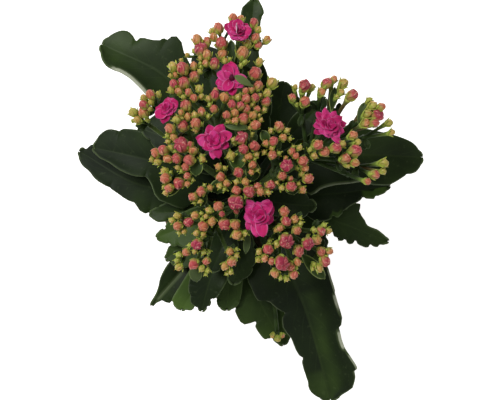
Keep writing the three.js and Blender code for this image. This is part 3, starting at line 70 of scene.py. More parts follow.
# Leaves: z is the height of the leaf stalk on the stem; path is the start, middle and tip of the blade;
# fold is the rise in degrees of the inner and outer half on the left, then on the right.
# Left and right are the edges. One that was measured is a list of lobes from the stalk to the tip, each a
# list of (percent of the length, half width) that starts at its notch. One that is hidden in the photograph
# is (half width, where along the blade it is widest), with even lobes.
# The rest is for the looks, with 1 for the left side and -1 for the right, and stretches as shares of the
# length: tone is 0 for a dark leaf and 1 for a bright one; pale is where a rim carries a painted highlight
# (side, start, end, width, strength); turned is where an edge shows its bright back (side, start, end,
# width); lit_band is a strip of painted highlight (side, start, end, its middle and spread as shares of the
# half width, strength); fold_highlight is a painted highlight along the middle fold (start, end, width).
LEAVES = [
    # leaf_01
    dict(
        z=103, path=((24.8, 14, 112), (57.9, 22.8, 120), (98.5, 22.4, 113)), fold=(6, 2, 8, 18),
        pale=((-1, 0.1, 0.66, 1.3, 0.66),),
        left=[[(14, 9.5), (28, 15.5), (42, 18), (56, 15.5), (70, 13), (83, 11), (92, 8.5), (96, 6),
            (98, 3.5)]],
        right=[[(5, 11), (12, 16.5), (23, 14.5), (31, 14.5)], [(47, 15.5), (57, 15), (67, 17)], [(77, 17),
            (83, 14), (87, 11.5)], [(90, 10), (92, 9.5), (95, 8.5), (97, 6.5), (99, 3.5)]],
    ),
    # leaf_02
    dict(
        z=95, path=((26.2, 1.1, 102), (54.9, 2.3, 107), (81, 6.2, 106)), fold=(5, 5, 5, 12),
        turned=((-1, 0.37, 0.47, 3.2), (-1, 0.7, 0.97, 4.5)),
        left=[[(14, 7), (38, 12.5), (71, 10.5), (92, 4.5)]],
        right=[[(11, 10), (26, 15.5), (37, 14.5)], [(39, 12.5), (43, 13.5), (46, 13)], [(49, 10), (56, 7.5),
            (63, 6)], [(70, 4), (78, 5), (82, 5.5)], [(84, 4.5), (88, 4), (93, 3.5), (97, 1.8)]],
    ),
    # leaf_03
    dict(
        z=90, path=((24.1, -6.9, 96), (50.1, -13.6, 102), (80.9, -25.1, 98)), fold=(4, 4, 4, 4), tone=0.25,
        left=[[(15, 5.5), (36, 9), (58, 12.5), (67, 14)], [(68, 10), (69, 9), (75, 6), (78, 4), (82, 3.5),
            (87, 3.5), (92, 2.6), (97, 1.3)]],
        right=[[(12, 6), (31, 9.5), (45, 8.5)], [(51, 6), (53, 7.5), (56, 8.5)], [(57, 8.5), (60, 10),
            (62, 9.5)], [(65, 8), (67, 9), (70, 9.5), (72, 9.5)], [(74, 6.5), (76, 7.5), (80, 8), (83, 8),
            (86, 7.5)], [(87, 5.5), (90, 5.5), (94, 5)], [(95, 3.5), (97, 2.3), (99, 1.2)]],
    ),
    # leaf_04
    dict(z=112, path=((11, -2, 119), (24, -4, 125), (38, -5, 125)), fold=(10, 5, 10, 5), left=(9, 0.5),
         right=(9, 0.5)),
    # leaf_05
    dict(z=91, path=((18, 18, 99), (34, 29, 107), (49, 39, 109)), left=(10, 0.5), right=(10, 0.5)),
    # leaf_06
    dict(z=110, path=((15, 24, 119), (31, 40, 127), (44, 54, 126)), fold=(8, 5, 8, 5), left=(7, 0.6),
         right=(7, 0.6)),
    # leaf_07
    dict(z=87, path=((7, 20, 95), (17, 42, 101), (22, 65, 100)), fold=(4, 4, 4, 4), left=(13.5, 0.62),
         right=(14, 0.6)),
    # leaf_08
    dict(z=96, path=((4, 27, 105), (4, 54, 115), (3, 84, 118)), left=(16, 0.7), right=(10.5, 0.42)),
    # leaf_09
    dict(
        z=105, path=((1.2, 36.1, 120), (1.8, 74, 131), (4.5, 108.3, 129)), fold=(12, 6, 12, 6), tone=0.05,
        left=[[(10, 2.9), (37, 4.5), (59, 6), (74, 7), (86, 6.5), (92, 6)], [(96, 5), (97, 3.5),
            (98, 2.1)]],
        right=[[(13, 4.5), (38, 6.5), (54, 5.5), (64, 4.5), (79, 4.5), (83, 4.5)], [(87, 5.5), (90, 6),
            (94, 5), (96, 4), (99, 2.3)]],
    ),
    # leaf_10
    dict(z=100, path=((-7, 26, 107), (-17, 52, 112), (-24, 84, 112)), left=(13, 0.7), right=(17, 0.7)),
    # leaf_11
    dict(
        z=91, path=((-14.8, 29.1, 100), (-44.4, 67, 110), (-80.9, 86.1, 108)), fold=(10, 45, 6, -4),
        tone=0.22, pale=((1, 0.5, 0.87, 2.3, 1.0),),
        left=[[(13, 9.5), (31, 16), (51, 17), (62, 15), (75, 12), (81, 11.5)], [(84, 12), (89, 11.5),
            (94, 9), (98, 4.5)]],
        right=[[(20, 7), (37, 11.5), (50, 16.5), (54, 19), (56, 21.5), (58, 22.5), (61, 22), (62, 20.5)],
            [(63, 18), (65, 18), (66, 16), (69, 14.5), (73, 13.5), (77, 13), (79, 12)], [(80, 10), (84, 12),
            (88, 13), (92, 12), (97, 8), (99, 4.5)]],
    ),
    # leaf_12
    dict(z=109, path=((-13, 14, 118), (-33, 28, 124), (-57, 37.5, 121)), left=(10, 0.5), right=(17, 0.7)),
    # leaf_13
    dict(
        z=97, path=((-19.2, 7.9, 105), (-53.2, 20.2, 114), (-85.6, 27.6, 109)), fold=(6, 14, 6, 2),
        left=[[(7, 12), (18, 20), (36, 19.5), (43, 13.5), (47, 10.5)], [(51, 9.5), (55, 10), (61, 10.5),
            (73, 9), (84, 6), (93, 4.5), (98, 2.3)]],
        right=[[(17, 10.5), (36, 16.5), (54, 14.5), (64, 15), (74, 14.5), (79, 14)], [(82, 12.5),
            (87, 12.5), (91, 12), (95, 10), (98, 7), (99, 4)]],
    ),
    # leaf_14
    dict(
        z=87, path=((-21.2, 1.2, 94), (-62.1, 7.4, 100), (-95, 25.9, 97)),
        left=[[(10, 10), (23, 14), (32, 14.5)], [(38, 14), (40, 15), (43, 14.5), (45, 12.5), (48, 10.5),
            (51, 10.5), (61, 9)], [(67, 8.5), (76, 8.5), (80, 8), (86, 6.5), (92, 6), (96, 4.5),
            (99, 1.7)]],
        right=[[(14, 10), (38, 16.5), (67, 16), (82, 11.5), (93, 8), (96, 6)], [(97, 3.5), (99, 2.8)]],
    ),
    # leaf_15
    dict(
        z=93, path=((-18.2, -5.1, 101), (-33.9, -7.9, 107), (-54.1, -9.3, 106)),
        left=[[(23, 4.5), (46, 6.5), (63, 6.5)], [(76, 5), (88, 5), (95, 3.5), (99, 1.8)]],
        right=[[(17, 5.5), (48, 6.5), (75, 5.5)], [(89, 3.5), (97, 1.9)]],
    ),
    # leaf_16
    dict(
        z=106, path=((-16.8, -7.9, 114), (-31.2, -15.1, 117), (-49.6, -22.6, 114)), tone=0.5,
        left=[[(17, 5.5), (42, 11)], [(55, 14.5), (66, 13), (72, 10)], [(77, 8.5), (85, 7.5)], [(88, 5.5),
            (94, 4.5), (98, 3)]],
        right=[[(15, 5.5), (39, 7.5), (64, 7.5)], [(77, 6.5), (82, 4.5)], [(86, 3), (91, 3), (96, 2)]],
    ),
    # leaf_17
    dict(
        z=99, path=((-15.8, -13, 107), (-29.8, -24.2, 110), (-45, -34.7, 107)), tone=0.35,
        left=[[(18, 6.5), (50, 11.5), (73, 11.5)], [(88, 9.5), (94, 6.5)], [(98, 3), (99, 1.8)]],
        right=[[(17, 4), (44, 5.5), (69, 5)], [(84, 5), (91, 3.5), (97, 1.6)]],
    ),
    # leaf_18
    dict(
        z=86, path=((-17.2, -20.1, 94), (-34.2, -39.9, 100), (-53.8, -62.1, 96)), fold=(16, 2, 30, 24),
        fold_highlight=(0.5, 0.93, 2.2),
        left=[[(16, 9), (50, 16.5), (69, 14.5)], [(78, 11.5), (82, 9)], [(84, 7), (87, 6.5), (89, 4.5)],
            [(90, 2.9), (93, 0.8), (96, 0.1)]],
        right=[[(9, 6), (34, 9.5), (56, 9.5), (73, 7.5), (82, 4.5), (89, 2.5), (96, 1.4)]],
    ),
    # leaf_19
    dict(
        z=94.5, path=((-11.9, -23.9, 102.5), (-24.8, -45.3, 106.5), (-36.3, -63.8, 103.5)), tone=1.0,
        left=[[(21, 8), (52, 9)], [(69, 8.5), (78, 7.5)], [(88, 5.5), (94, 4.5), (96, 1.5)]],
        right=[[(14, 4.5), (50, 8), (81, 8)], [(98, 7.5), (99, 5)]],
    ),
    # leaf_20
    dict(z=112, path=((-8, -13, 120), (-13, -27, 126), (-19, -41, 125)), fold=(14, 8, 14, 8),
         left=(9, 0.55), right=(9, 0.55)),
    # leaf_21
    dict(
        z=103, path=((-8.9, -23.1, 111), (-19, -43.2, 114), (-24.7, -63.8, 110)), tone=0.12,
        left=[[(17, 7), (50, 9)], [(70, 7.5), (80, 5.5)], [(83, 3.5), (89, 3.5)], [(94, 2.5), (98, 1.2)]],
        right=[[(12, 5.5), (40, 9.5), (62, 11)], [(70, 11), (78, 10)], [(84, 8.5), (92, 7.5)], [(98, 4.5),
            (99, 2.3)]],
    ),
    # leaf_22
    dict(
        z=91, path=((-6.3, -25.1, 99.5), (-9.1, -44.9, 103), (-10.8, -63.8, 100)), tone=0.35,
        left=[[(19, 6.5), (46, 7.5), (72, 7.5)], [(86, 7), (94, 5), (98, 2.2)]],
        right=[[(11, 5), (41, 8.5), (66, 11)], [(76, 11), (85, 9.5)], [(86, 6.5), (94, 5.5), (98, 3.5)]],
    ),
    # leaf_23
    dict(z=108, path=((-2, -17, 116), (-3, -33, 120), (-7, -48, 118)), left=(9, 0.55), right=(9, 0.55)),
    # leaf_24
    dict(
        z=86, path=((1.2, -23.5, 93), (6.3, -54.8, 96.5), (21.2, -84.5, 95)), fold=(4, 4, 4, 4), tone=0.4,
        left=[[(18, 7), (48, 11), (74, 10)], [(89, 8), (96, 6.5), (99, 3.5)]],
        right=[[(15, 7), (33, 12.5), (48, 15.5)], [(55, 14.5), (58, 15.5), (63, 15.5), (68, 15), (70, 13.5),
            (71, 10.5)], [(72, 7.5), (76, 9), (85, 8.5), (89, 7.5), (90, 5.5)], [(91, 4), (94, 3.5),
            (98, 2)]],
    ),
    # leaf_25
    dict(
        z=101, path=((14.7, -22, 109), (33.1, -62.8, 114), (47.5, -114.5, 107)), fold=(10, 34, 6, 2),
        pale=((1, 0.33, 0.47, 0.9, 0.8), (1, 0.47, 0.56, 1.9, 1.0), (1, 0.65, 0.75, 2.1, 1.0),
        (1, 0.77, 0.88, 1.0, 0.8)), lit_band=((1, 0.42, 1.1, 0.25, 0.24, 0.36),
        (-1, 0.84, 1.1, 0.0, 0.7, 0.32)),
        left=[[(6, 10), (10, 20), (14, 29)], [(17, 27.5), (20, 28)], [(22, 26.5), (26, 26), (30, 23.5)],
            [(32, 22), (40, 21), (46, 20.5)], [(47, 20), (53, 19.5), (58, 19.5), (61, 19), (62, 18.5)],
            [(64, 16), (70, 15.5), (74, 16), (80, 18.5), (86, 20.5)], [(87, 18.5), (90, 18), (93, 16.5),
            (96, 14), (97, 10), (99, 5.5)]],
        right=[[(6, 12), (11, 19)], [(14, 22), (22, 23.5), (29, 23.5), (34, 23), (36, 21)], [(37, 18.5),
            (38, 17), (42, 15.5), (45, 13.5)], [(48, 11.5), (51, 14), (57, 15), (62, 12.5), (70, 11.5),
            (74, 10)], [(75, 9), (77, 10), (80, 10)], [(84, 10), (88, 9.5), (91, 10), (93, 9.5), (96, 7.5),
            (98, 5)]],
    ),
]

# All leaves, in millimetres but for the fold, the lobes of an even edge and the bluntness of the tip
LEAF = dict(
    fold=(5, 5, 5, 5), lobes=3, thick=1.6, butt=2.4, stalk=1.7, blunt=0.55, depth=1.3, ripple=0.8, rim=0.45,
    groove=0.35,
)

# Sprays: fork is the top of the flower stalk, and ahead the way it points there; low is where a stalk
# leaves the main stem, when not at its top; drop is how far the knots lie below their groups, lean how far
# the groups tip out, and stout how thick the bud stalks are; blooms are (x, y, z, radius); small leaves are
# (foot, tip, half width, how light); each group is its height and its buds, as (x, y, radius, ripeness from
# 0 to 5).
SPRAYS = [
    # spray_01
    dict(
        fork=(-6, 50, 150), blooms=[(-4, 85, 185, 7.5)], leaves=[((-7, 69, 176), (-7.5, 81, 178), 2.6, 0)],
        groups=[
            (180, (-12.5, 86, 2.4, 3), (-6.5, 92.5, 2.1, 3), (-15, 78, 1, 0), (-11.5, 80, 2.9, 4),
             (-17, 85, 1.5, 1), (-16, 81.5, 1.9, 2)),
            (180, (5, 81.5, 2.2, 3), (-2.5, 92, 1.8, 2), (-3.5, 82.5, 1.2, 1), (3, 88.5, 2.1, 4),
             (11, 81, 2, 2), (0, 80, 2.2, 1), (6.5, 86, 1.6, 1), (6.5, 78, 1.9, 3)),
            (180, (-22.5, 75, 2.9, 5), (-30, 73, 1.1, 1), (-20, 80, 2.1, 3), (-24, 80, 2.6, 2),
             (-26.5, 75, 1.1, 0)),
            (184, (-20, 68.5, 1.7, 2), (-12, 73.5, 2.5, 2), (-23.5, 64.5, 1.3, 1), (-16, 68, 2.5, 4),
             (-20, 72.5, 2.2, 2), (-23, 70.5, 1.3, 1), (-23, 68, 0.8, 0), (-23, 66.5, 0.8, 0)),
            (183, (-2.5, 67, 1.2, 0), (-10.5, 69.5, 1.6, 1), (-1.5, 73.5, 3, 2), (-0.5, 69, 1.3, 0),
             (-8, 70.5, 0.9, 0)),
            (183, (5, 63, 3.1, 4), (7, 69, 1.9, 1)),
        ],
    ),
    # spray_02
    dict(
        fork=(-14, 33, 150), blooms=[(-7, 60.5, 189, 8.4)],
        groups=[
            (182, (-32, 65.5, 2.9, 4), (-26, 62, 2.5, 3), (-37, 66.5, 2.3, 1), (-26.5, 67, 2, 2),
             (-33, 70, 1, 1), (-36, 62.5, 1.4, 2)),
            (184, (-36.5, 57.5, 2, 4), (-31.5, 58, 2.8, 4), (-38.5, 62, 1.1, 1), (-34, 54, 2, 2),
             (-38, 54, 1.7, 1)),
            (187, (-27, 50.5, 1.9, 3), (-23.5, 55, 1.9, 1), (-31.5, 50.5, 1.3, 0), (-22.5, 51, 1.5, 1),
             (-28.5, 52.5, 1.8, 3)),
            (189, (-18, 47, 1.2, 0), (-14, 51, 2.3, 4), (-16, 44.5, 2, 3), (-18, 49.5, 1.5, 1)),
            (188, (-9.5, 54.5, 2.4, 2), (-8.5, 50.5, 1.1, 0), (-13, 55, 1.5, 2), (-7, 56, 1.3, 1)),
        ],
    ),
    # spray_03
    dict(
        fork=(3.5, 29, 152), leaves=[((2.5, 56.5, 191.5), (-5.5, 61, 195), 2, 0.66),
        ((1, 35, 187), (-11, 37, 188), 2.3, 0.3)],
        groups=[
            (189, (0, 50, 2.2, 3), (6, 56, 2.3, 3), (-4, 54, 1.1, 1), (4.5, 50, 2.1, 4),
             (2.5, 54.5, 1.7, 2), (3.5, 47, 1.5, 1), (-0.5, 54.5, 1.6, 3), (-3.5, 51.5, 1.8, 1)),
            (185, (11, 52.5, 2.1, 1), (13.5, 58, 2.6, 1), (10.5, 48.5, 2.3, 4), (7.5, 51.5, 1.4, 1)),
            (191, (-6, 43, 2, 2), (-8.5, 38.5, 1.4, 1), (-7, 47, 2.1, 4), (-5, 39, 1.8, 2),
             (-4, 45.5, 2, 4), (-8.5, 41.5, 2, 3)),
            (190, (4, 41, 2, 2), (9.5, 44, 1.2, 1), (2.5, 35, 1.2, 1), (-1, 39.5, 2.7, 4),
             (0.5, 44.5, 2.1, 3), (7.5, 39, 1.2, 1), (6, 44.5, 1.6, 3), (5, 36.5, 2.5, 3), (6.5, 41, 1, 1)),
        ],
    ),
    # spray_04
    dict(
        fork=(-23, 17, 148), blooms=[(-40.5, 45.5, 183, 7.4), (-16, 28.5, 190, 9)],
        leaves=[((-25, 21, 183), (-25.5, 10.5, 184), 3.7, 0), ((-34, 5, 176), (-40.5, 0.5, 176), 1.6, 0)],
        groups=[
            (177, (-49, 48.5, 1.4, 1), (-45, 53, 1.4, 1), (-52.5, 51, 1.6, 1), (-49, 52.5, 2.2, 3),
             (-52.5, 47.5, 2.2, 4), (-49.5, 45.5, 1.3, 1)),
            (174, (-56, 40, 1.9, 1), (-51, 40, 1.2, 0), (-58, 43.5, 2.3, 1), (-53, 43, 2.6, 3),
             (-58, 39.5, 1, 0)),
            (186, (-32.5, 43.5, 1.5, 2), (-30.5, 46.5, 2.6, 4), (-30, 40.5, 1.9, 2), (-35.5, 41, 1.9, 1),
             (-28.5, 44, 0.8, 0), (-32.5, 40, 1.2, 1), (-34.5, 43.5, 1.1, 0)),
            (189, (-25, 37, 2.6, 3), (-19, 41, 1.3, 0), (-25.5, 41.5, 1.7, 1), (-23.5, 33, 1.5, 1),
             (-22.5, 43, 2, 3), (-21.5, 35.5, 1, 0)),
            (185, (-36.5, 30, 1.9, 2), (-32, 36.5, 2.8, 4), (-38.5, 34.5, 2.5, 3), (-39.5, 28.5, 1.3, 1),
             (-39.5, 31, 1.4, 0)),
            (188, (-24.5, 24.5, 2.2, 2), (-31.5, 26, 3.3, 5), (-28, 19.5, 2.8, 4), (-21.5, 20, 1.7, 1),
             (-28, 26, 1.5, 4), (-20.5, 23, 1.3, 0)),
            (184, (-39.5, 20, 2.2, 2), (-34.5, 15, 1.6, 1), (-38, 25, 1.5, 1), (-35.5, 19.5, 2.5, 4),
             (-41.5, 23, 2.5, 4), (-36, 23, 0.9, 0)),
            (179, (-48, 19, 1.2, 1), (-46, 22.5, 2.3, 3), (-45.5, 18, 1.8, 1)),
            (186, (-29.5, 10.5, 1.8, 3), (-30.5, 15, 2, 3), (-29.5, 6.5, 1.5, 2), (-27, 8.5, 1, 0),
             (-32.5, 13, 1, 0)),
            (181, (-41, 9.5, 2.6, 3), (-34, 7, 2.9, 4), (-41, 2, 1.4, 1), (-41.5, 13, 1.9, 1),
             (-39, 4.5, 2.2, 3), (-42, 5, 0.9, 0), (-38.5, 12.5, 0.9, 0)),
        ],
    ),
    # spray_05
    dict(
        fork=(-4, 9, 154), leaves=[((-3, 23, 186), (-5, 14, 186), 4.2, 0),
        ((3.5, 18.5, 181), (4, 8, 180), 4, 0), ((-14, 8, 180), (-14.5, 1.5, 179), 4.2, 0)],
        groups=[
            (190, (-9.5, 28.5, 1.2, 1), (-11, 24, 2.3, 1), (-7.5, 28, 1.4, 1)),
            (192, (4.5, 25.5, 2.5, 4), (-3.5, 29, 2.8, 5), (3.5, 32, 0.8, 0), (1.5, 20.5, 2, 2),
             (-1, 24, 2.4, 4), (5.5, 21.5, 1.5, 1)),
            (191, (3.5, 16, 2, 3), (-0.5, 18.5, 1, 1), (3, 12.5, 1.5, 2), (6, 13.5, 1, 0), (4.5, 19, 1, 0)),
            (190, (-12.5, 10, 2.3, 3), (-10.5, 4, 1.3, 0), (-13.5, 15, 1.8, 2), (-9.5, 7, 1.9, 2),
             (-13, 5.5, 1.6, 1), (-10.5, 14.5, 1.2, 1)),
            (192, (-2.5, 9.5, 0.8, 0), (0, 7.5, 2, 2), (-3.5, 12, 2.5, 4), (-4.5, 7.5, 1.5, 1)),
            (192, (2, 2, 2.9, 4), (-4.5, -2.5, 3.4, 5), (-4.5, 3, 2.3, 3), (3, -2.5, 1.3, 0)),
            (191, (7.5, 1, 1.9, 2), (5.5, -5, 2.4, 3), (12, 5, 2.4, 4), (9, -3, 1.5, 1), (6.5, 4, 2, 3),
             (10, 1, 1.4, 1)),
        ],
    ),
    # spray_06
    dict(
        fork=(14, 12, 151), leaves=[((11.5, 27.5, 183), (8.5, 34, 185), 2.6, 0),
        ((23.5, 8, 178), (25, 1, 177), 4, 0)],
        groups=[
            (188, (19, 30, 1.9, 2), (13, 33.5, 1.4, 1), (17, 35.5, 2.4, 3), (21, 33.5, 1.5, 1),
             (22.5, 29.5, 1.2, 0)),
            (190, (13.5, 24.5, 1.3, 1), (9.5, 22.5, 1.3, 1), (17, 22, 1.2, 0), (10.5, 27, 1.7, 2),
             (14, 27.5, 2.3, 4), (13.5, 21.5, 2.2, 3)),
            (186, (26, 20.5, 1.7, 3), (30, 15, 2, 2), (24.5, 25.5, 1, 0), (28.5, 18.5, 2.5, 3),
             (26.5, 14.5, 1, 0), (27.5, 25, 1.5, 1), (24, 22.5, 1.9, 3)),
            (189, (20.5, 16, 2.8, 5), (20.5, 19.5, 1.1, 2)),
            (189, (18.5, 10.5, 2.2, 3), (23, 5.5, 2.5, 4), (18.5, 4.5, 1.5, 1), (23, 9, 1.2, 3),
             (16, 7, 1.1, 1)),
            (185, (27, 6.5, 1.1, 1), (31.5, 9.5, 2.6, 3), (29, 3.5, 1.9, 2), (29, 11.5, 1.4, 1),
             (25.5, 4.5, 0.9, 0)),
        ],
    ),
    # spray_07
    dict(
        fork=(-15, -12, 149), leaves=[((-26.5, -35, 172), (-25.5, -44.5, 170), 3.4, 0.5),
        ((-23, 4, 176), (-24, -5.5, 175), 4, 0.2)],
        groups=[
            (187, (-22.5, 2.5, 2.4, 3), (-26, -3, 1, 0), (-18, 4.5, 1.6, 2), (-26.5, 0, 2.2, 3),
             (-21, 6, 0.8, 0), (-23, -2.5, 1.3, 1)),
            (182, (-34.5, -15, 2.2, 3), (-29, -13, 2.5, 4), (-35, -10, 1.8, 1), (-31.5, -18, 1.3, 1),
             (-37.5, -12, 1.5, 1), (-34, -18.5, 1.1, 0)),
            (188, (-20, -10, 1.3, 1), (-25.5, -9.5, 1.9, 2), (-17, -12.5, 2.2, 2), (-18.5, -7, 1.8, 1),
             (-22.5, -8.5, 1, 0), (-22, -11.5, 1, 0)),
            (185, (-21.5, -19, 1.3, 1), (-21.5, -15, 2.6, 3), (-25, -18.5, 1.6, 1)),
            (190, (-13.5, -5, 2.5, 3), (-12, -8.5, 1.5, 4)),
            (189, (-2, -13.5, 2.5, 3), (-10, -14, 3, 4), (-2, -21, 1, 0), (-4.5, -7.5, 1.4, 4),
             (-4.5, -18, 2.5, 2), (0.5, -17.5, 1.5, 1)),
            (182, (-24.5, -24, 2.5, 5), (-21.5, -28.5, 1.4, 0), (-26, -28, 1.3, 1), (-28.5, -25, 1.2, 0),
             (-22.5, -21, 1, 0)),
            (178, (-34.5, -30.5, 1.5, 0), (-34.5, -35.5, 1.9, 1), (-30.5, -28.5, 2, 3), (-35, -33, 1.3, 0)),
            (180, (-22.5, -37, 1.6, 1), (-19, -28.5, 1.2, 0), (-26.5, -34.5, 2.5, 4), (-20, -33, 1.9, 3),
             (-20.5, -40, 0.9, 0), (-19.5, -38, 1.2, 0)),
            (184, (-7, -33, 2.4, 3), (-9.5, -39.5, 1, 0), (-4.5, -27, 1, 0), (-10.5, -35.5, 2, 2),
             (-8, -28, 2, 2), (-4.5, -30, 1.3, 1), (-7.5, -38.5, 1.3, 1)),
        ],
    ),
    # spray_08
    dict(
        fork=(16, -15, 149), blooms=[(7, -9.5, 192, 10)],
        leaves=[((29.5, -30, 172), (41.5, -43, 168), 3.4, 0.1),
        ((1.5, -18, 180), (0, -29.5, 176), 1.9, 0.45)],
        groups=[
            (189, (16, -15, 1.8, 2), (15.5, -8.5, 2.4, 3), (20.5, -12, 2.5, 4), (12.5, -14, 1.4, 1)),
            (187, (28, -13.5, 1.3, 0), (26, -17, 2.3, 3), (25, -11.5, 2, 2), (28, -11, 0.9, 0)),
            (189, (20.5, -22, 3.3, 5), (16, -24, 1.7, 1)),
            (188, (11.5, -26.5, 2.6, 4), (6.5, -32, 1.4, 1), (10.5, -31.5, 1.8, 2), (7, -28, 1.6, 1),
             (12.5, -22.5, 1.1, 0)),
            (187, (18, -33, 3.3, 5), (13, -32.5, 1.8, 3)),
            (182, (18, -41.5, 1.2, 0), (15, -39, 2.2, 2), (21, -42, 1.4, 1)),
            (184, (25.5, -36, 1.2, 0), (24.5, -39.5, 2.2, 3), (23, -35.5, 2.3, 3), (26.5, -33.5, 1.9, 2)),
            (186, (27, -27.5, 2.7, 4), (31.5, -23.5, 2.7, 5)),
            (182, (38.5, -17.5, 2.2, 4), (32, -20.5, 1.1, 0), (36.5, -22, 2.3, 2), (42.5, -17.5, 1.6, 1),
             (35, -17, 1.4, 1), (40.5, -14.5, 1.2, 0)),
            (180, (39, -28.5, 2.2, 3), (40.5, -32.5, 2.6, 4), (43, -28, 1.8, 2)),
            (179, (35.5, -35, 1.2, 0), (37.5, -36.5, 1.9, 1), (34.5, -37, 1, 0)),
        ],
    ),
    # spray_09
    dict(
        fork=(30, 19, 146), lean=0.3, stout=1.35, blooms=[(43, 36.5, 184, 9.2)],
        leaves=[((45, 46, 168), (46.5, 57, 172), 2.4, 0), ((60, 36.5, 168), (61.5, 49, 172), 2.8, 0.42)],
        groups=[
            (179, (30, 56.5, 2.6, 5), (26.5, 48, 0.8, 0), (30.5, 49, 2.5, 3), (25.5, 56.5, 1.4, 1),
             (34, 56.5, 1.8, 1), (24, 51, 1.9, 3)),
            (176, (41.5, 58, 2.5, 4), (39.5, 54.5, 2.1, 2)),
            (175, (49.5, 54, 1.7, 1), (45.5, 60.5, 1.9, 2), (50.5, 58.5, 2.3, 1), (47.5, 52, 1.3, 0)),
            (175, (55, 52.5, 2.8, 4)),
            (173, (66, 47.5, 2.1, 1), (68, 42, 2.6, 5), (69.5, 46, 2, 3), (64.5, 50, 1.5, 0)),
            (174, (62.5, 38, 2.3, 2), (63, 43, 2.1, 1), (66.5, 38.5, 2.1, 4)),
            (170, (74.5, 38.5, 1.9, 1), (76, 33.5, 1.6, 1)),
            (184, (39.5, 31, 2.6, 3), (46, 25, 2.6, 4), (40.5, 23, 2.5, 3), (45, 33.5, 1.8, 1)),
            (183, (33, 24, 1.3, 0), (36, 26.5, 2.1, 2), (35, 21, 1.7, 1)),
            (180, (55, 31.5, 2.1, 2), (57.5, 28, 1.6, 1)),
            (180, (56, 17.5, 2.1, 2), (56, 23.5, 2.8, 4), (51, 19.5, 2.4, 3), (52.5, 16, 1.2, 1)),
            (174, (71, 13, 1.5, 1), (71.5, 17.5, 2.2, 1), (67, 11.5, 2.3, 3)),
            (174, (63, 8, 1.8, 3)),
        ],
    ),
    # spray_10
    dict(
        fork=(12, -30, 100), ahead=(0.25, -0.95, 0.1), low=95.5, drop=3, lean=0.03,
        groups=[
            (104, (18, -80, 1.6, 1), (15.5, -78.5, 1.4, 1), (20.5, -78.5, 1.3, 2)),
        ],
    ),
]

# Branches: how far a knot lies below its buds, and the share by which it leans back to the hub; how high the
# hub lies over the fork, and how far from it a branch starts; the rest are radii of branches and bud stalks
CYME = dict(drop=13, lean=0.12, hub=7, root=1.6, branch=1.25, bloom_branch=1.0, leaf_branch=0.8, pedicel=0.78)

# Buds: how many radii below the middle a stalk ends; how far ripe ones rise, and how domed a group is; how
# they lean out from the middle of the flower head, against how they point up
BUD = dict(foot=1.15, rise=0.5, dome=0.06, lean=0.03, up=1.2, head_middle=8)

# How buds are pushed apart: the gap between them, the room that other sprays and blooms get, and how much
# more they move up or down than aside
APART = dict(rounds=40, gap=0.3, other_spray=1.2, bloom=0.5, upright=2.5)


class Draw:
    """The same draw on every run, and the same as the solids have"""

    def __init__(self, state):
        self.state = state

    def __call__(self):
        self.state = (self.state * 1664525 + 1013904223) % 4294967296
        return self.state / 4294967296


draw = Draw(20231)
wild = np.random.default_rng(11)

# A whole turn in radians, rounded as in the solids
TURN = 6.28


def any_angle(count=None):
    """A random angle in radians, or an array of some"""
    return wild.uniform(0, TURN, count)


# Closed shapes


class Shape:
    """Points in millimetres, faces, and two sets of four numbers for each point that its material reads"""

    def __init__(self):
        self.count = 0
        self.points = []
        self.marks = []
        self.faces = []

    def grid(self, points, marks, wrap=False):
        """A sheet of four-sided faces; wrap joins its last column to its first"""
        rows, columns = points.shape[:2]
        ids = self.count + np.arange(rows * columns).reshape(rows, columns)
        self.count += rows * columns
        self.points.append(points.reshape(-1, 3))
        self.marks.append(np.broadcast_to(marks, (rows, columns, 8)).reshape(-1, 8))
        here = ids if wrap else ids[:, :-1]
        there = np.roll(ids, -1, axis=1) if wrap else ids[:, 1:]
        corners = np.stack([here[:-1], there[:-1], there[1:], here[1:]], axis=-1)
        self.faces.extend(corners.reshape(-1, 4).tolist())
        return ids

    def tube(self, rings, marks):
        """Rings of points joined in order, with both ends closed"""
        ids = self.grid(rings, marks, wrap=True)
        self.faces.append(ids[0][::-1].tolist())
        self.faces.append(ids[-1].tolist())

    def piece(self, name, material, node=None, slot=None, merge=0.0):
        """The shape as an object that rides with the plant and stands for a node"""
        mesh = bpy.data.meshes.new(name)
        mesh.from_pydata(np.concatenate(self.points) * MM, [], self.faces)
        marks = np.concatenate(self.marks)
        for label, columns in (("mask", slice(0, 4)), ("place", slice(4, 8))):
            layer = mesh.attributes.new(label, "FLOAT_COLOR", "POINT")
            layer.data.foreach_set("color", marks[:, columns].astype(np.float32).ravel())
        work = bmesh.new()
        work.from_mesh(mesh)
        if merge:
            bmesh.ops.remove_doubles(work, verts=work.verts, dist=merge * MM)
        bmesh.ops.recalc_face_normals(work, faces=work.faces)
        work.to_mesh(mesh)
        work.free()
        mesh.shade_smooth()
        mesh.materials.append(material)
        thing = new_object(name, mesh)
        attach(thing, "root")
        if node:
            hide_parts(node)
        return thing


def marks(*values):
    """Eight numbers for each point, from numbers or arrays that fit each other; those left out are 0"""
    sheets = np.broadcast_arrays(*values, *[0.0] * (8 - len(values)))
    return np.stack(sheets, axis=-1)


def unit(rows):
    size = np.linalg.norm(rows, axis=-1, keepdims=True)
    return rows / np.maximum(size, 1e-9)


def smooth(value, low, high):
    """0 up to the low value, 1 from the high one, and a soft step between them"""
    share = np.clip((value - low) / (high - low), 0, 1)
    return share * share * (3 - 2 * share)


def angles_round(sides):
    return math.tau * np.arange(sides) / sides


def polar(radius, angle):
    return radius * math.cos(angle), radius * math.sin(angle)


def normals(grid):
    """Directions square to a grid of points"""
    return unit(np.cross(np.gradient(grid, axis=0), np.gradient(grid, axis=1)))


def new_object(name, data):
    thing = bpy.data.objects.new(name, data)
    bpy.context.collection.objects.link(thing)
    return thing


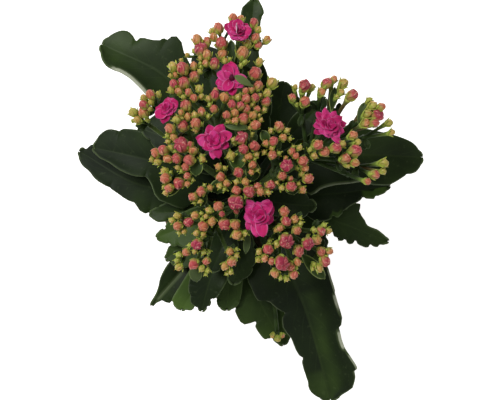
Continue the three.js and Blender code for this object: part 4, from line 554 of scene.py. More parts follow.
def axes_round(axis):
    """Two directions square to an axis and to each other"""
    across = Vector((1, 0, 0)) - axis * axis.x
    if across.length < 0.3:
        across = Vector((0, 1, 0)) - axis * axis.y
    across.normalize()
    return np.array(across), np.array(axis.cross(across))


def curve_through(points):
    """The centripetal Catmull-Rom curve through some points, for shares of its way from 0 to 1"""
    points = [np.array(point, float) for point in points]
    chain = [2 * points[0] - points[1], *points, 2 * points[-1] - points[-2]]

    def at(share):
        place = share * (len(points) - 1)
        k = min(int(place), len(points) - 2)
        w = place - k
        a, b, c, d = chain[k:k + 4]
        before, between, after = (math.sqrt(np.linalg.norm(q - p)) for p, q in ((a, b), (b, c), (c, d)))
        leave = ((b - a) / before - (c - a) / (before + between) + (c - b) / between) * between
        reach = ((c - b) / between - (d - b) / (between + after) + (d - c) / after) * between
        square = -3 * b + 3 * c - 2 * leave - reach
        cube = 2 * b - 2 * c + leave + reach
        return b + leave * w + square * w * w + cube * w * w * w

    return at


def rings_along(points, radii, sides):
    """Rings of points round a line of points, each turned as little as can be from the one before"""
    points = np.asarray(points, float)
    ahead = unit(np.gradient(points, axis=0))
    across = np.cross(ahead[0], (0.0, 1.0, 0.0))
    if np.linalg.norm(across) < 0.3:
        across = np.cross(ahead[0], (1.0, 0.0, 0.0))
    angles = angles_round(sides)
    rings = []
    for point, way, radius in zip(points, ahead, radii):
        across = unit(across - way * across.dot(way))
        along = np.cross(way, across)
        rings.append(point + radius * (np.cos(angles)[:, None] * across + np.sin(angles)[:, None] * along))
    return np.array(rings)


STALK_SIDES = 8
STALK_STEPS = 9


def stalk(shape, points, radii, mark):
    """A tapered stalk on a smooth curve through some points"""
    curve = curve_through(points)
    shares = np.linspace(0, 1, STALK_STEPS)
    thick = np.interp(shares, np.linspace(0, 1, len(radii)), radii)
    shape.tube(rings_along([curve(share) for share in shares], thick, STALK_SIDES), mark)


def swelling(shape, foot, axis, profile, sides, mark):
    """A bulb on an axis, from (reach along the axis, radius)"""
    points = [foot + axis * reach for reach, _ in profile]
    shape.tube(rings_along(points, [radius for _, radius in profile], sides), mark)


def sheet(shape, middle, half, mark_top, mark_under):
    """A blade round its middle surface; half is half its thickness, and 0 along its edges"""
    lift = normals(middle) * half[..., None]
    shape.grid(middle + lift, mark_top)
    shape.grid(middle - lift, mark_under)


# Leaves

# Where the lobes of an even edge start, as shares of the length
EVEN_NOTCHES = [
    0.02 + 0.95 * (1 - (1 - k / (LEAF["lobes"] + 0.35)) ** 1.15) for k in range(LEAF["lobes"] + 1)
]
NARROWEST = 0.02

# Columns of points on half a blade: millimetres from the edge, and shares of the way out to them
EDGE_STEPS = np.array([1.9, 1.0, 0.45, 0.13, 0.0])
INNER_STEPS = np.array([0, 0.07, 0.16, 0.3, 0.45, 0.6, 0.75, 0.9])

# Rows of points before, at and after each notch
NOTCH_STEPS = (-0.012, -0.001, 0.004, 0.012, 0.025)


def half_width(share, full, widest):
    """Half the width of an even blade at a share of its length"""
    share = np.clip(share, 0, 1)
    power = math.log(0.5) / math.log(widest)
    swell = np.sin(math.pi * share**power) ** LEAF["blunt"]
    narrow = LEAF["stalk"] * (1 - share)
    return narrow + np.maximum(0, (full - narrow) * swell)


def soft_curve(xs, ys, at):
    """A smooth line through some points that rises and falls only where they do"""
    xs, ys = np.array(xs, float), np.array(ys, float)
    step = np.diff(xs)
    slope = np.diff(ys) / step
    tilt = np.concatenate([slope[:1], slope[:-1], slope[-1:]])[: len(xs)]
    before, after = slope[:-1], slope[1:]
    tilt[1:-1] = np.where(before * after > 0, 2 * before * after / (before + after + 1e-12), 0)
    k = np.clip(np.searchsorted(xs, at) - 1, 0, len(xs) - 2)
    w = (at - xs[k]) / step[k]
    low = (1 + 2 * w) * (1 - w) ** 2 * ys[k] + w * (1 - w) ** 2 * step[k] * tilt[k]
    return low + w * w * (3 - 2 * w) * ys[k + 1] + w * w * (w - 1) * step[k] * tilt[k + 1]


def measured_edge(side, shares):
    """Half width and notch depth, from 0 to 1, at some shares of a measured edge"""
    lobes = [[(percent / 100, width) for percent, width in lobe] for lobe in side]
    lobes[0].insert(0, (0.0, LEAF["stalk"] + 0.3))
    last_share, last_width = lobes[-1][-1]
    width = np.full(len(shares), NARROWEST)
    notch = np.zeros(len(shares))
    for k, lobe in enumerate(lobes):
        points = lobe + ([lobes[k + 1][0]] if k + 1 < len(lobes) else [])
        start, end = points[0][0], points[-1][0]
        inside = (shares >= start) & (shares < end)
        if len(points) > 1:
            width[inside] = soft_curve(*zip(*points), shares[inside])
        if k:
            notch = np.maximum(notch, np.exp(-(((shares - start) / 0.012) ** 2)))
    beyond = shares >= last_share
    fall = np.clip((shares[beyond] - last_share) / (1 - last_share), 0, 1)
    width[beyond] = last_width * np.sqrt(1 - fall * fall)
    return width, notch


def regular_edge(side, shares):
    """Half width and notch depth at some shares of an edge with even lobes"""
    last = EVEN_NOTCHES[-1]
    stations = np.array([*EVEN_NOTCHES, last + 2.4 * (1 - last)])
    k = np.clip(np.searchsorted(stations, shares, side="right") - 1, 0, LEAF["lobes"])
    step = np.clip((shares - stations[k]) / (stations[k + 1] - stations[k]), 0, 1)
    notch = np.where(shares < stations[0], 0, 1 - np.sin(math.pi * step**0.85) ** 0.5)
    depth = LEAF["depth"] * np.clip(shares * 4, 0, 1)
    return half_width(shares, *side) - depth * notch, notch


def leaf_shares(leaf):
    """The shares of the length where a blade has a row of points: close together round its notches"""
    shares = [*np.linspace(-0.5, 0, 7), *(1 - (1 - np.linspace(0, 1, 34)) ** 1.8)]
    for side in (leaf["left"], leaf["right"]):
        notches = [lobe[0][0] / 100 for lobe in side[1:]] if isinstance(side, list) else EVEN_NOTCHES
        shares += [notch + step for notch in notches for step in NOTCH_STEPS]
    kept = [-0.5]
    for share in sorted(shares):
        if share - kept[-1] > 0.0025 and share < 0.9985:
            kept.append(share)
    return np.array([*kept, 1.0])


def leaf_frame(leaf, shares):
    """The middle of the blade at each share, with the directions to its left and up from it"""
    start = Vector(leaf["path"][0])
    turn = math.atan2(start.y, start.x)
    butt = (*polar(stem_radius(leaf["z"]) + SEAT, turn), leaf["z"])
    curve = curve_through([butt, *leaf["path"]])
    at = [(1 + 2 * share) / 3 for share in shares]
    centre = np.array([curve(t) for t in at])
    ahead = unit(np.array([curve(min(t + 1e-3, 1)) - curve(max(t - 1e-3, 0)) for t in at]))
    left = unit(np.stack([-ahead[:, 1], ahead[:, 0], np.zeros(len(at))], axis=-1))
    return centre, left, np.cross(ahead, left)


def half_blade(leaf, sign, shares):
    """One side of a blade: how far out and up each point lies, its reach and its distance from the edge"""
    side = leaf["left"] if sign > 0 else leaf["right"]
    fold = leaf.get("fold", LEAF["fold"])
    inner, outer = (math.radians(angle) for angle in (fold[:2] if sign > 0 else fold[2:]))
    ease = np.clip(shares * 4, 0, 1)[:, None]
    width, notch = measured_edge(side, shares) if isinstance(side, list) else regular_edge(side, shares)
    width[shares < 0] = LEAF["stalk"] * (1 - shares[shares < 0])
    width, notch = np.maximum(width, NARROWEST)[:, None], notch[:, None]
    edge = EDGE_STEPS * np.minimum(1, width / 5)
    reach = np.concatenate([INNER_STEPS * (1 - edge[:, :1] / width), 1 - edge / width], axis=1)
    past = np.where(abs(reach - 0.5) < 0.2, (reach - 0.3) ** 2 / 0.8, np.maximum(reach - 0.5, 0))
    near = reach - past
    out = width * (near * np.cos(inner * ease) + past * np.cos(outer * ease))
    up = width * (near * np.sin(inner * ease) + past * np.sin(outer * ease))
    up = up + LEAF["ripple"] * ease * (0.5 - notch) * reach**4
    swing = any_angle(2)
    up = up + 0.5 * ease * reach * np.sin(7 * shares[:, None] + swing[0])
    up = up + 0.3 * ease * reach**2 * np.sin(19 * shares[:, None] + swing[1])
    groove = LEAF["groove"] * np.exp(-((reach * width / 1.8) ** 2))
    up = up - groove * (1 - 0.7 * np.clip(shares, 0, 1)[:, None])
    return out, up, reach, (1 - reach) * width


def stretch_of(shares, start, end):
    """1 on a stretch of a blade's length, 0 off it, as a column"""
    on = smooth(shares, start - 0.02, start + 0.02)
    return (on * (1 - smooth(shares, end - 0.02, end + 0.02)))[:, None]


def blade_marks(leaf, sign, shares, reach, room):
    """How strong the painted highlight is on one side of a blade, at its rim and fold, and how bright the
    rest
    """
    # A thin painted highlight runs along every edge, stronger where a rim is marked pale
    rim = 0.5 * (1 - smooth(room, LEAF["rim"] * 0.4, LEAF["rim"] * 1.3))
    for side, start, end, width, strength in leaf.get("pale", ()):
        if side == sign:
            here = stretch_of(shares, start, end) * (1 - smooth(room, width * 0.6, width * 1.1))
            rim = np.maximum(rim, strength * here)
    # A painted highlight along the fold in the middle of the blade
    if "fold_highlight" in leaf:
        start, end, width = leaf["fold_highlight"]
        from_middle = reach * (room / np.maximum(1 - reach, 0.02))
        rim = np.maximum(rim, 0.62 * stretch_of(shares, start, end) * (1 - smooth(from_middle, 0, width)))
    bright = np.zeros_like(room)
    for side, start, end, width in leaf.get("turned", ()):
        if side == sign:
            here = stretch_of(shares, start, end) * (1 - smooth(room, width * 0.8, width))
            bright = np.maximum(bright, here)
    # A strip of painted highlight makes part of the blade brighter
    for side, start, end, middle, spread, strength in leaf.get("lit_band", ()):
        if side == sign:
            here = stretch_of(shares, start, end) * np.exp(-(((reach - middle) / spread) ** 2))
            bright = np.maximum(bright, strength * here)
    return rim, bright


def leaf_shape(shape, leaf):
    shares = leaf_shares(leaf)
    centre, left, up = leaf_frame(leaf, shares)
    sides = []
    for sign in (-1, 1):
        out, rise, reach, room = half_blade(leaf, sign, shares)
        points = centre[:, None] + sign * out[..., None] * left[:, None] + rise[..., None] * up[:, None]
        side = [points, sign * reach, room, *blade_marks(leaf, sign, shares, reach, room)]
        sides.append([part[:, :0:-1] for part in side] if sign < 0 else side)
    points, reach, room, rim, bright = (np.concatenate(pair, axis=1) for pair in zip(*sides))
    bulk = LEAF["thick"] + (LEAF["butt"] - LEAF["thick"]) * (1 - smooth(shares, -0.45, 0.1))[:, None]
    round_off = np.minimum(0.9, bulk / 2)
    inward = 1 - np.clip(room / round_off, 0, 1)
    half = bulk / 2 * np.sqrt(np.maximum(1 - inward**2, 0))
    middle = points - normals(points) * bulk[..., None] / 2
    rim = rim * np.clip(shares * 6 + 0.3, 0, 1)[:, None]
    tone = np.maximum(leaf.get("tone", 0.0) + wild.uniform(-0.08, 0.08), 0.9 * bright)
    place = (reach * 0.5 + 0.5, np.clip(shares, 0, 1)[:, None], wild.uniform(), 1.0)
    top = marks(rim, tone, 1.0, wild.uniform(), *place)
    under = marks(rim, tone, 0.0, wild.uniform(), *place)
    sheet(shape, middle, half, top, under)


# Sprays of buds and blooms

# Swellings along the top of a flower stalk, at each fork of its branches and under a bloom
KNUCKLE = ((SEAT, 1.6), (2.5, 1.75), (4.8, 2.6), (7, 2.7), (8.6, 2.2), (10, 0.9))
KNOT = ((-2.2, 1.0), (-1.1, 1.35), (0, 1.6), (1.1, 1.3), (2, 0.6))
CALYX = ((-4.8, 0.9), (-3.9, 1.5), (-2.6, 1.95), (-1.2, 1.8), (0, 1.5))
UP = Vector((0, 0, 1))

# How far the base of a bloom lies below its middle, in radii
BLOOM_BASE = 0.45
BLOOMS = [(spray, bloom) for spray in SPRAYS for bloom in spray.get("blooms", ())]

# Stalks and small leaves: how green or yellow they are, and how woody. Low yellow gives the dark green of
# painted shade: mostly so on the branches, and wholly on stalks that lie deep under the flower head
SHADED_STEM = marks(0.05, 0.0, 0.5)
GREEN_STEM = marks(0.22, 0.0, 0.5)
YELLOW_STEM = marks(0.75, 0.0, 0.5)

# Height and radius of a bud, in bud radii, closed and with its petals coming loose
CLOSED_BUD = ((-1.12, 0.36), (-1.0, 0.56), (-0.76, 0.8), (-0.42, 0.96), (-0.05, 1.03), (0.33, 1.0),
              (0.66, 0.88), (0.92, 0.7), (1.1, 0.5), (1.2, 0.32), (1.18, 0.17), (1.1, 0.05))
LOOSE_BUD = ((-1.12, 0.36), (-1.0, 0.54), (-0.72, 0.8), (-0.36, 0.98), (0.05, 1.08), (0.48, 1.1),
             (0.82, 1.0), (1.04, 0.82), (1.02, 0.6), (1.14, 0.42), (1.06, 0.24), (0.96, 0.07))
LOOSE_FROM = 0.97
LAP = dict(closed=0.2, loose=0.32)
PETAL_PARTS = np.array([0, 0.1, 0.26, 0.45, 0.65, 0.84, 0.965])

# Height, radius and half width along a sepal, in bud radii, and how thick its rows and columns are
SEPALS = 4
SEPAL = np.array([(-1.2, 0.25, 0.3), (-1.03, 0.62, 0.42), (-0.74, 0.92, 0.44), (-0.36, 1.07, 0.33),
                  (-0.02, 1.12, 0.2), (0.24, 1.16, 0.03)])
SEPAL_ACROSS = np.array([-1, -0.55, 0, 0.55, 1.0])
SEPAL_THICK = 0.075
SEPAL_TAPER = np.array([1, 1, 1, 1, 0.9, 0.2])

# The narrow bracts at a fork, and the shares across a small leaf where its points lie
BRACT = dict(length=6.5, rise=2.6, half_wide=1.7)
BLADE_ACROSS = np.array([-1, -0.93, -0.8, -0.55, -0.28, 0, 0.28, 0.55, 0.8, 0.93, 1.0])


def place_buds():
    """The buds of every spray, pushed apart until none touches another or a bloom, as the solids have them"""
    buds = []
    for s, spray in enumerate(SPRAYS):
        for g, (z, *own) in enumerate(spray["groups"]):
            middle_x, middle_y = middle_of(own)
            for x, y, radius, ripe in own:
                lift = BUD["rise"] * ripe - BUD["dome"] * ((x - middle_x) ** 2 + (y - middle_y) ** 2)
                at = Vector((x, y, z + lift))
                buds.append(dict(spray=s, group=g, at=at, radius=radius, ripe=ripe / 5))
    blooms = [(Vector((x, y, z - 0.15 * radius)), radius) for _, (x, y, z, radius) in BLOOMS]
    for _ in range(APART["rounds"]):
        for i, bud in enumerate(buds):
            for other in buds[i + 1:]:
                apart = other["at"] - bud["at"]
                space = 1 if bud["spray"] == other["spray"] else APART["other_spray"]
                short = (bud["radius"] + other["radius"]) * space + APART["gap"] - apart.length
                if short > 0:
                    apart.z *= APART["upright"]
                    apart = apart.normalized() * (short / 2)
                    other["at"] = other["at"] + apart
                    bud["at"] = bud["at"] - apart
            for centre, radius in blooms:
                apart = bud["at"] - centre
                short = bud["radius"] + radius + APART["bloom"] - apart.length
                if short > 0:
                    bud["at"] = bud["at"] + apart.normalized() * short
    return buds


def middle_of(buds):
    """The middle of a group of buds, seen from above"""
    return [sum(bud[k] for bud in buds) / len(buds) for k in (0, 1)]


def stalk_top(spray):
    """The fork of a flower stalk, the way it points there, and the hub that the branches leave"""
    fork = Vector(spray["fork"])
    ahead = Vector(spray.get("ahead", (fork.x * 0.5, fork.y * 0.5, 34))).normalized()
    return fork, ahead, fork + ahead * CYME["hub"]


def branch_to(shape, hub, end, radius, mark):
    """A branch that leaves the hub steeply and bends on its way"""
    way = end - hub
    bend = hub + Vector((way.x * 0.45, way.y * 0.45, way.z * 0.55))
    root = hub + (bend - hub).normalized() * CYME["root"]
    stalk(shape, [root, bend, end], [radius * 1.1, radius * 0.92, radius], mark)


def bud_axis(bud, knot):
    """The way a bud points: away from its knot, up, and outwards near the edge of the flower head"""
    x, y, _ = bud["at"]
    outward = Vector((x * BUD["lean"], (y - BUD["head_middle"]) * BUD["lean"], BUD["up"]))
    return ((bud["at"] - knot).normalized() + outward).normalized()


def bud_shape(shape, bud, axis):
    """A closed bud: a plump body whose petals lap over each other towards its tip"""
    loose = bud["ripe"] > LOOSE_FROM
    profile = np.array(LOOSE_BUD if loose else CLOSED_BUD)
    petals = int(wild.integers(3, 6))
    step = LAP["loose" if loose else "closed"] * wild.uniform(0.7, 1.3)
    height = profile[:, :1] * np.where(profile[:, :1] > 0, wild.uniform(0.92, 1.16), 1.0)
    radius = profile[:, 1:]
    share = (profile[:, :1] + 1.12) / 2.3
    across, along = axes_round(axis)
    k = np.repeat(np.arange(petals), len(PETAL_PARTS))
    s = np.tile(PETAL_PARTS, petals)
    free = smooth(profile[:, :1], -0.6, 0.45)
    angle = any_angle() + math.tau * (k + s) / petals + 0.9 * share**2
    grown = radius * (1 + step * free * (s - 0.5)) * bud["radius"]
    uneven = wild.uniform(-0.12, 0.16, petals)[k]
    lift = height * bud["radius"] + bud["radius"] * free * (0.1 * s + uneven * radius)
    grown = grown + 0.05 * bud["radius"] * np.sin(2 * angle + any_angle()) * radius
    around = np.cos(angle)[..., None] * across + np.sin(angle)[..., None] * along
    points = np.array(bud["at"]) + lift[..., None] * np.array(axis) + grown[..., None] * around
    tint = wild.uniform(0, 1, petals)[k]
    side = 0.5 + 0.5 * np.cos(angle + any_angle())
    shape.tube(points, marks(bud["ripe"], share, s, tint, wild.uniform(), free, side, 0.0))


def sepals(shape, centre, axis, radius, long, flare, mark):
    """Sepals round the foot of a bud or bloom; flare bends their tips out"""
    across, along = axes_round(axis)
    turn = any_angle()
    height, spread, wide = SEPAL[:, 0], SEPAL[:, 1], SEPAL[:, 2:]
    free = smooth(height, -0.8, 0.2)
    w = SEPAL_ACROSS
    half = SEPAL_THICK * np.sqrt(np.maximum(1 - w**2, 0)) * SEPAL_TAPER[:, None]
    for i in range(SEPALS):
        angle = turn + math.tau * i / SEPALS + wild.uniform(-0.2, 0.2)
        out = math.cos(angle) * across + math.sin(angle) * along
        aside = np.cross(np.array(axis), out)
        up = height + (long - 1) * free * 0.5
        away = spread + (flare * wild.uniform(0.6, 1.3) + 0.25 * (long - 1)) * free**1.5
        points = (up[:, None, None] * np.array(axis) + away[:, None, None] * out
                  + (wide * w)[..., None] * aside - (0.12 * w**2)[None, :, None] * out)
        sheet(shape, np.array(centre) + radius * points, radius * half, mark, mark)


def small_leaf(shape, root, tip, half_wide, tone=0.15, light=0.9, pale=0.0):
    """A bract on a spray: a small rounded blade, with the lightness of its rim, a painted highlight, and of
    the rest
    """
    v = np.linspace(0, 1, 14)[:, None]
    w = BLADE_ACROSS
    ahead = Vector(tip) - Vector(root)
    aside = np.array(Vector((-ahead.y, ahead.x, 0)).normalized())
    width = np.maximum(half_wide * np.sin(math.pi * v**1.3) ** 0.6, 0.5 * (1 - v)) + 0.02
    lift = 1.2 * np.sin(math.pi * v) + 0.25 * width * w**2 - 0.15 * np.exp(-((w / 0.12) ** 2))
    middle = np.array(root) + v[..., None] * np.array(ahead) + (width * w)[..., None] * aside
    middle = middle + lift[..., None] * np.array(UP)
    half = 0.45 * np.sqrt(np.maximum(1 - w**4, 0)) * np.ones_like(v)
    rim = np.maximum(light * (1 - smooth((1 - abs(w)) * width, 0.25, 0.65)), pale)
    place = (w * 0.5 + 0.5, v, wild.uniform(), 0.3)
    tone = tone + wild.uniform(0, 0.2)
    top = marks(rim, tone, 1.0, wild.uniform(), *place)
    sheet(shape, middle, half, top, marks(rim, tone, 0.0, 0.5, *place))


def fork_bracts(shape, knot):
    """Two narrow bracts, on about opposite sides of a fork"""
    for turn in (0.0, math.pi):
        way = Vector((*polar(BRACT["length"], turn + any_angle()), BRACT["rise"]))
        small_leaf(shape, knot, knot + way, BRACT["half_wide"], tone=0.05, light=0.15)


def bud_on_stalk(stems, heads, bud, knot, stout):
    """A bud, the stalk that carries it from its knot, and its sepals"""
    axis = bud_axis(bud, knot)
    neck = bud["at"] - axis * bud["radius"] * BUD["foot"]
    belly = knot.lerp(neck, 0.55) - UP * 0.6
    young = 1 - bud["ripe"]
    tint = wild.uniform()
    width = CYME["pedicel"] * stout * (0.8 + 0.3 * bud["ripe"])
    cup = max(width * 1.3, bud["radius"] * (0.5 if stout == 1 else 0.78))
    # Painted shade: dark green down at the knot, turning yellow-green up at the bud
    yellow = marks((0.07 + 0.63 * np.linspace(0, 1, STALK_STEPS) ** 3)[:, None], 0.0, tint)
    stalk(stems, [knot, belly, neck + axis * 0.3], [width, width * 0.95, width, cup], yellow)
    bud_shape(heads, bud, axis)
    yellow = marks(0.72 + 0.2 * young, 0.0, tint)
    sepals(stems, bud["at"], axis, bud["radius"], 1.2 + 1.1 * young**2, 0.45 * young**2, yellow)


def bloom_stalk(shape, spray, bloom, hub, green):
    x, y, z, radius = bloom
    axis = bloom_axis(spray, x, y)
    cup = Vector((x, y, z)) - axis * (radius * BLOOM_BASE + SEAT)
    branch_to(shape, hub, cup - axis * 4.4, CYME["bloom_branch"], green)
    swelling(shape, cup, axis, CALYX, 12, YELLOW_STEM)
    sepals(shape, cup - axis * 0.6, axis, 2.6, 1.0, 0.2, YELLOW_STEM)


def spray_pieces(s, spray, buds, looks):
    """A spray's green stems, its buds and its small leaves"""
    fork, ahead, hub = stalk_top(spray)
    stems, heads, leaves = Shape(), Shape(), Shape()
    green = SHADED_STEM if "low" in spray or "stout" in spray else GREEN_STEM
    lean, drop = spray.get("lean", CYME["lean"]), spray.get("drop", CYME["drop"])
    swelling(stems, fork, ahead, KNUCKLE, 14, green)
    for g, (z, *own) in enumerate(spray["groups"]):
        x, y = middle_of(own)
        knot = Vector((x - (x - hub.x) * lean, y - (y - hub.y) * lean, z - drop))
        branch_to(stems, hub, knot, CYME["branch"], green)
        swelling(stems, knot, UP, KNOT, 10, green)
        if "low" not in spray:
            fork_bracts(leaves, knot)
        for bud in buds:
            if bud["spray"] == s and bud["group"] == g:
                bud_on_stalk(stems, heads, bud, knot, spray.get("stout", 1))
    for bloom in spray.get("blooms", ()):
        bloom_stalk(stems, spray, bloom, hub, green)
    for foot, tip, half_wide, light in spray.get("leaves", ()):
        root, tip = Vector(foot), Vector(tip)
        branch_to(stems, hub, root, CYME["leaf_branch"], green)
        root += (root - tip).normalized() * 1.5 + UP * 0.4
        small_leaf(leaves, root, tip, half_wide, light=0.9 - 0.5 * light, pale=light)
    name = f"spray_{s + 1:02d}"
    stems.piece(f"{name}_stems", looks["stem"], name, "stem", merge=0.004)
    heads.piece(f"{name}_buds", looks["bud"], name, "bud")
    if leaves.points:
        leaves.piece(f"{name}_bracts", looks["leaf"], name, "leaf", merge=0.004)


# Blooms

# Outer petals of each bloom: x and y of the tip from the middle of the bloom, and half width
OUTER_PETALS = (
    ((-6.8, 4.4, 2.6), (-3.4, 7.0, 2.8), (0.2, 7.4, 2.6), (4.8, 6.2, 2.8), (7.3, 0.5, 3), (5.3, -3.3, 2.6),
     (2.2, -4.6, 2.4), (-1.8, -5.4, 2.4), (-5.2, -1.6, 2.4)),
    ((0.2, 10, 3.2), (-3.6, 8.2, 2.8), (-7.5, 3, 2.8), (-8.2, -2.1, 2.8), (-7, -4.7, 2.6), (-2.9, -7.7, 2.6),
     (0.9, -8.4, 2.2), (5.8, -4.9, 2.6), (7.8, -1.4, 2.6), (5.9, 2.5, 2.8)),
    ((-0.6, 7.3, 2.4), (3.3, 5.6, 2.4), (6, 3, 2.8), (3.9, -2.2, 2.4), (-0.3, -8.3, 2.2), (-4.9, -5.7, 3),
     (-6.4, 2.6, 2.8), (-5.6, -1.5, 2.4)),
    ((-2.5, 8.7, 2.4), (3.7, 9.2, 2.6), (9.2, 3.8, 2.6), (-4.7, 4.9, 2.6), (-9.2, 2, 2.2), (-8.4, -1, 2.4),
     (-5.4, -3.9, 2.6), (-1, -9.1, 1.9), (2.6, -9.1, 2.1), (7.4, -2.8, 2.4)),
    ((-7, 7.3, 2.2), (-7.6, 4.2, 2.2), (-7.9, -0.9, 3), (-5.8, -7.5, 3), (-2.2, -10.7, 3), (2, -11, 2.8),
     (7, -2.4, 3), (7.5, 3.8, 3), (7, 6.9, 2.6), (4.4, 8.3, 2.4)),
    ((-1.2, 10, 2.2), (4, 8, 2.2), (7, 5.8, 2), (9.6, 3.4, 2.1), (8, -3, 2.3), (5.9, -5, 2.1), (5.4, -9, 2.1),
     (-1, -6.5, 2.2), (-4.8, -4.2, 2.3), (-7, -4, 1.8), (-8.2, -0.2, 1.9), (-6.5, 3.4, 1.9), (-6.5, 7, 2)),
)

# Rings of petals, from the outside in: how many, tilt, bend, length and height; where a ring is marked, the
# solids have it too, with the same turns. The outer ring follows the tips above instead.
RINGS = (
    dict(count=6, solid=True),
    dict(count=5, tilt=17, bend=-14, length=0.78, height=0.42, solid=False),
    dict(count=5, tilt=29, bend=-12, length=0.68, height=0.52, solid=True),
    dict(count=4, tilt=42, bend=-4, length=0.55, height=0.6, solid=False),
    dict(count=3, tilt=56, bend=8, length=0.46, height=0.68, solid=True),
)
PETAL_ACROSS = np.array([-1, -0.9, -0.62, -0.32, 0, 0.32, 0.62, 0.9, 1.0])
PETAL_STEPS = 12
PETAL_THICK = 0.24

# The bloom with a hollow middle whose eye is painted dark as shade, and the one with a pale petal that stands
# up
HOLLOW_BLOOM = 1
FOLDED_BLOOM = 0

# The layer mark of a petal: near 0 outside and near 1 inside, but below and above them for these
HOLLOW_SHADE_LAYER = -1.0
PALE_LAYER = 1.8


def bloom_axis(spray, x, y):
    fork = Vector(spray["fork"])
    return Vector((x * 0.004 + (x - fork.x) * 0.008, y * 0.004 + (y - fork.y) * 0.008, 1)).normalized()


def petal(shape, base, axis, out, length, width, tilt, bend, layer):
    """A broad petal with a blunt point: it leaves the base at a tilt and bends on its way; both in degrees"""
    v = np.linspace(0, 1, PETAL_STEPS + 1)[:, None]
    w = PETAL_ACROSS
    axis = np.array(axis)
    aside = np.cross(axis, out)
    angle = np.radians(tilt + bend * (v - 0.4) + wild.uniform(-9, 9))
    step = length / PETAL_STEPS
    forward = np.cumsum(np.cos(angle) * step, axis=0) - np.cos(angle[0]) * step
    upward = np.cumsum(np.sin(angle) * step, axis=0) - np.sin(angle[0]) * step
    wide = width * np.sin(math.pi * v**1.35) ** 0.62 + 0.25 * width * (1 - v) ** 2 + 0.02
    swing = any_angle(3)
    frill = 0.05 * length * np.sin(8 * v + swing[0]) * w * smooth(v, 0.2, 0.8)
    frill = frill + 0.04 * length * np.sin(4 * v + 3 * w + swing[2])
    groove = 0.06 * length * np.exp(-((w / 0.2) ** 2)) * v * (1.3 - v)
    cup = 0.1 * length * w**2 * (1 - 1.4 * v) + frill - groove
    sideways = w * wide + 0.08 * length * np.sin(swing[1]) * v**2
    ahead, up = forward - np.sin(angle) * cup, upward + np.cos(angle) * cup
    points = ahead[..., None] * out + up[..., None] * axis + sideways[..., None] * aside
    half = PETAL_THICK * np.sqrt(np.maximum(1 - abs(w) ** 3, 0)) * (1 - 0.5 * v) * np.ones_like(w)
    mark = marks(v, abs(w) * np.ones_like(v), layer, wild.uniform(), w * 0.5 + 0.5, v, 0.0, 0.0)
    sheet(shape, np.array(base) + points, half, mark, mark)


def bloom_shape(shape, spray, bloom, number):
    x, y, z, radius = bloom
    axis = bloom_axis(spray, x, y)
    base = Vector((x, y, z)) - axis * (radius * BLOOM_BASE)
    tall = radius * 0.62
    across, along = axes_round(axis)
    hollow = number == HOLLOW_BLOOM
    top = tall * (1.05 if hollow else 0.62)
    # The core of the hollow bloom carries the painted shade of its dark eye
    core = marks(0.0, 0.0, HOLLOW_SHADE_LAYER if hollow else 1.0, 0.0)
    swelling(shape, base, axis, ((0, 1.5), (top * 0.6, 1.5), (top, 1.1)), 10, core)
    for k, (tip_x, tip_y, half_wide) in enumerate(OUTER_PETALS[number]):
        way = Vector((tip_x, tip_y, 0))
        out = np.array((way - axis * way.dot(axis)).normalized())
        deep = k % 3
        root = base + axis * (tall * (0.2 + 0.11 * deep))
        petal(shape, root, axis, out, way.length * 1.03, half_wide * 1.12, 6 + 5 * deep, -14, 0.1 * deep)
    if number == FOLDED_BLOOM:
        root = base + axis * (tall * 0.9) + Vector((-0.6, -0.6, 0))
        petal(shape, root, axis, np.array((-1.0, 0.0, 0.0)), 3.4, 3.4, 84, -14, PALE_LAYER)
    for depth, ring in enumerate(RINGS):
        turn = draw() * TURN if ring["solid"] else any_angle()
        for i in range(ring["count"]):
            size = 0.9 + 0.2 * draw() if ring["solid"] else wild.uniform(0.85, 1.1)
            if depth == 0 or (hollow and depth > 1):
                continue
            angle = turn + math.tau * (i + 0.5) / ring["count"] + wild.uniform(-0.2, 0.2)
            out = math.cos(angle) * across + math.sin(angle) * along
            length = radius * ring["length"] * size
            wide = length * wild.uniform(0.36, 0.46)
            root = base + axis * (tall * ring["height"] * 0.8)
            tilt = ring["tilt"] + wild.uniform(-9, 9)
            petal(shape, root, axis, out, length, wide, tilt, ring["bend"], 0.3 + depth / 6)


# Stem, pot and soil


def up_stem(height):
    """The share of the main stem's length that lies below a height"""
    return (height - STEM["bottom"]) / (STEM["top"] - STEM["bottom"])


def stem_radius(height):
    return STEM["low"] + up_stem(height) * (STEM["high"] - STEM["low"])


def stem_shape():
    """The main stem, a little thicker just below each leaf, and the flower stalks"""
    shape = Shape()
    heights = np.linspace(STEM["bottom"], STEM["top"], STEM["rows"])
    radii = stem_radius(heights)
    for leaf in LEAVES:
        radii = radii + STEM["under_leaf"] * np.exp(-(((heights - leaf["z"] + 2) / 1.3) ** 2))
    radii[-1] *= 0.6
    share = up_stem(heights)[:, None]
    # Painted shade: dark green low on the stem, turning green higher up; brown towards the foot for its wood
    bark = marks(0.15 + 0.3 * share, 0.6 * (1 - share), 0.5)
    shape.tube(rings_along([(0, 0, z) for z in heights], radii, STEM["sides"]), bark)
    radii = np.linspace(*STEM["stalk"], STEM["stalk_rows"])
    for spray in SPRAYS:
        rings = rings_along(stalk_way(spray), radii, STEM["stalk_sides"])
        shape.tube(rings, SHADED_STEM if "low" in spray else GREEN_STEM)
    return shape


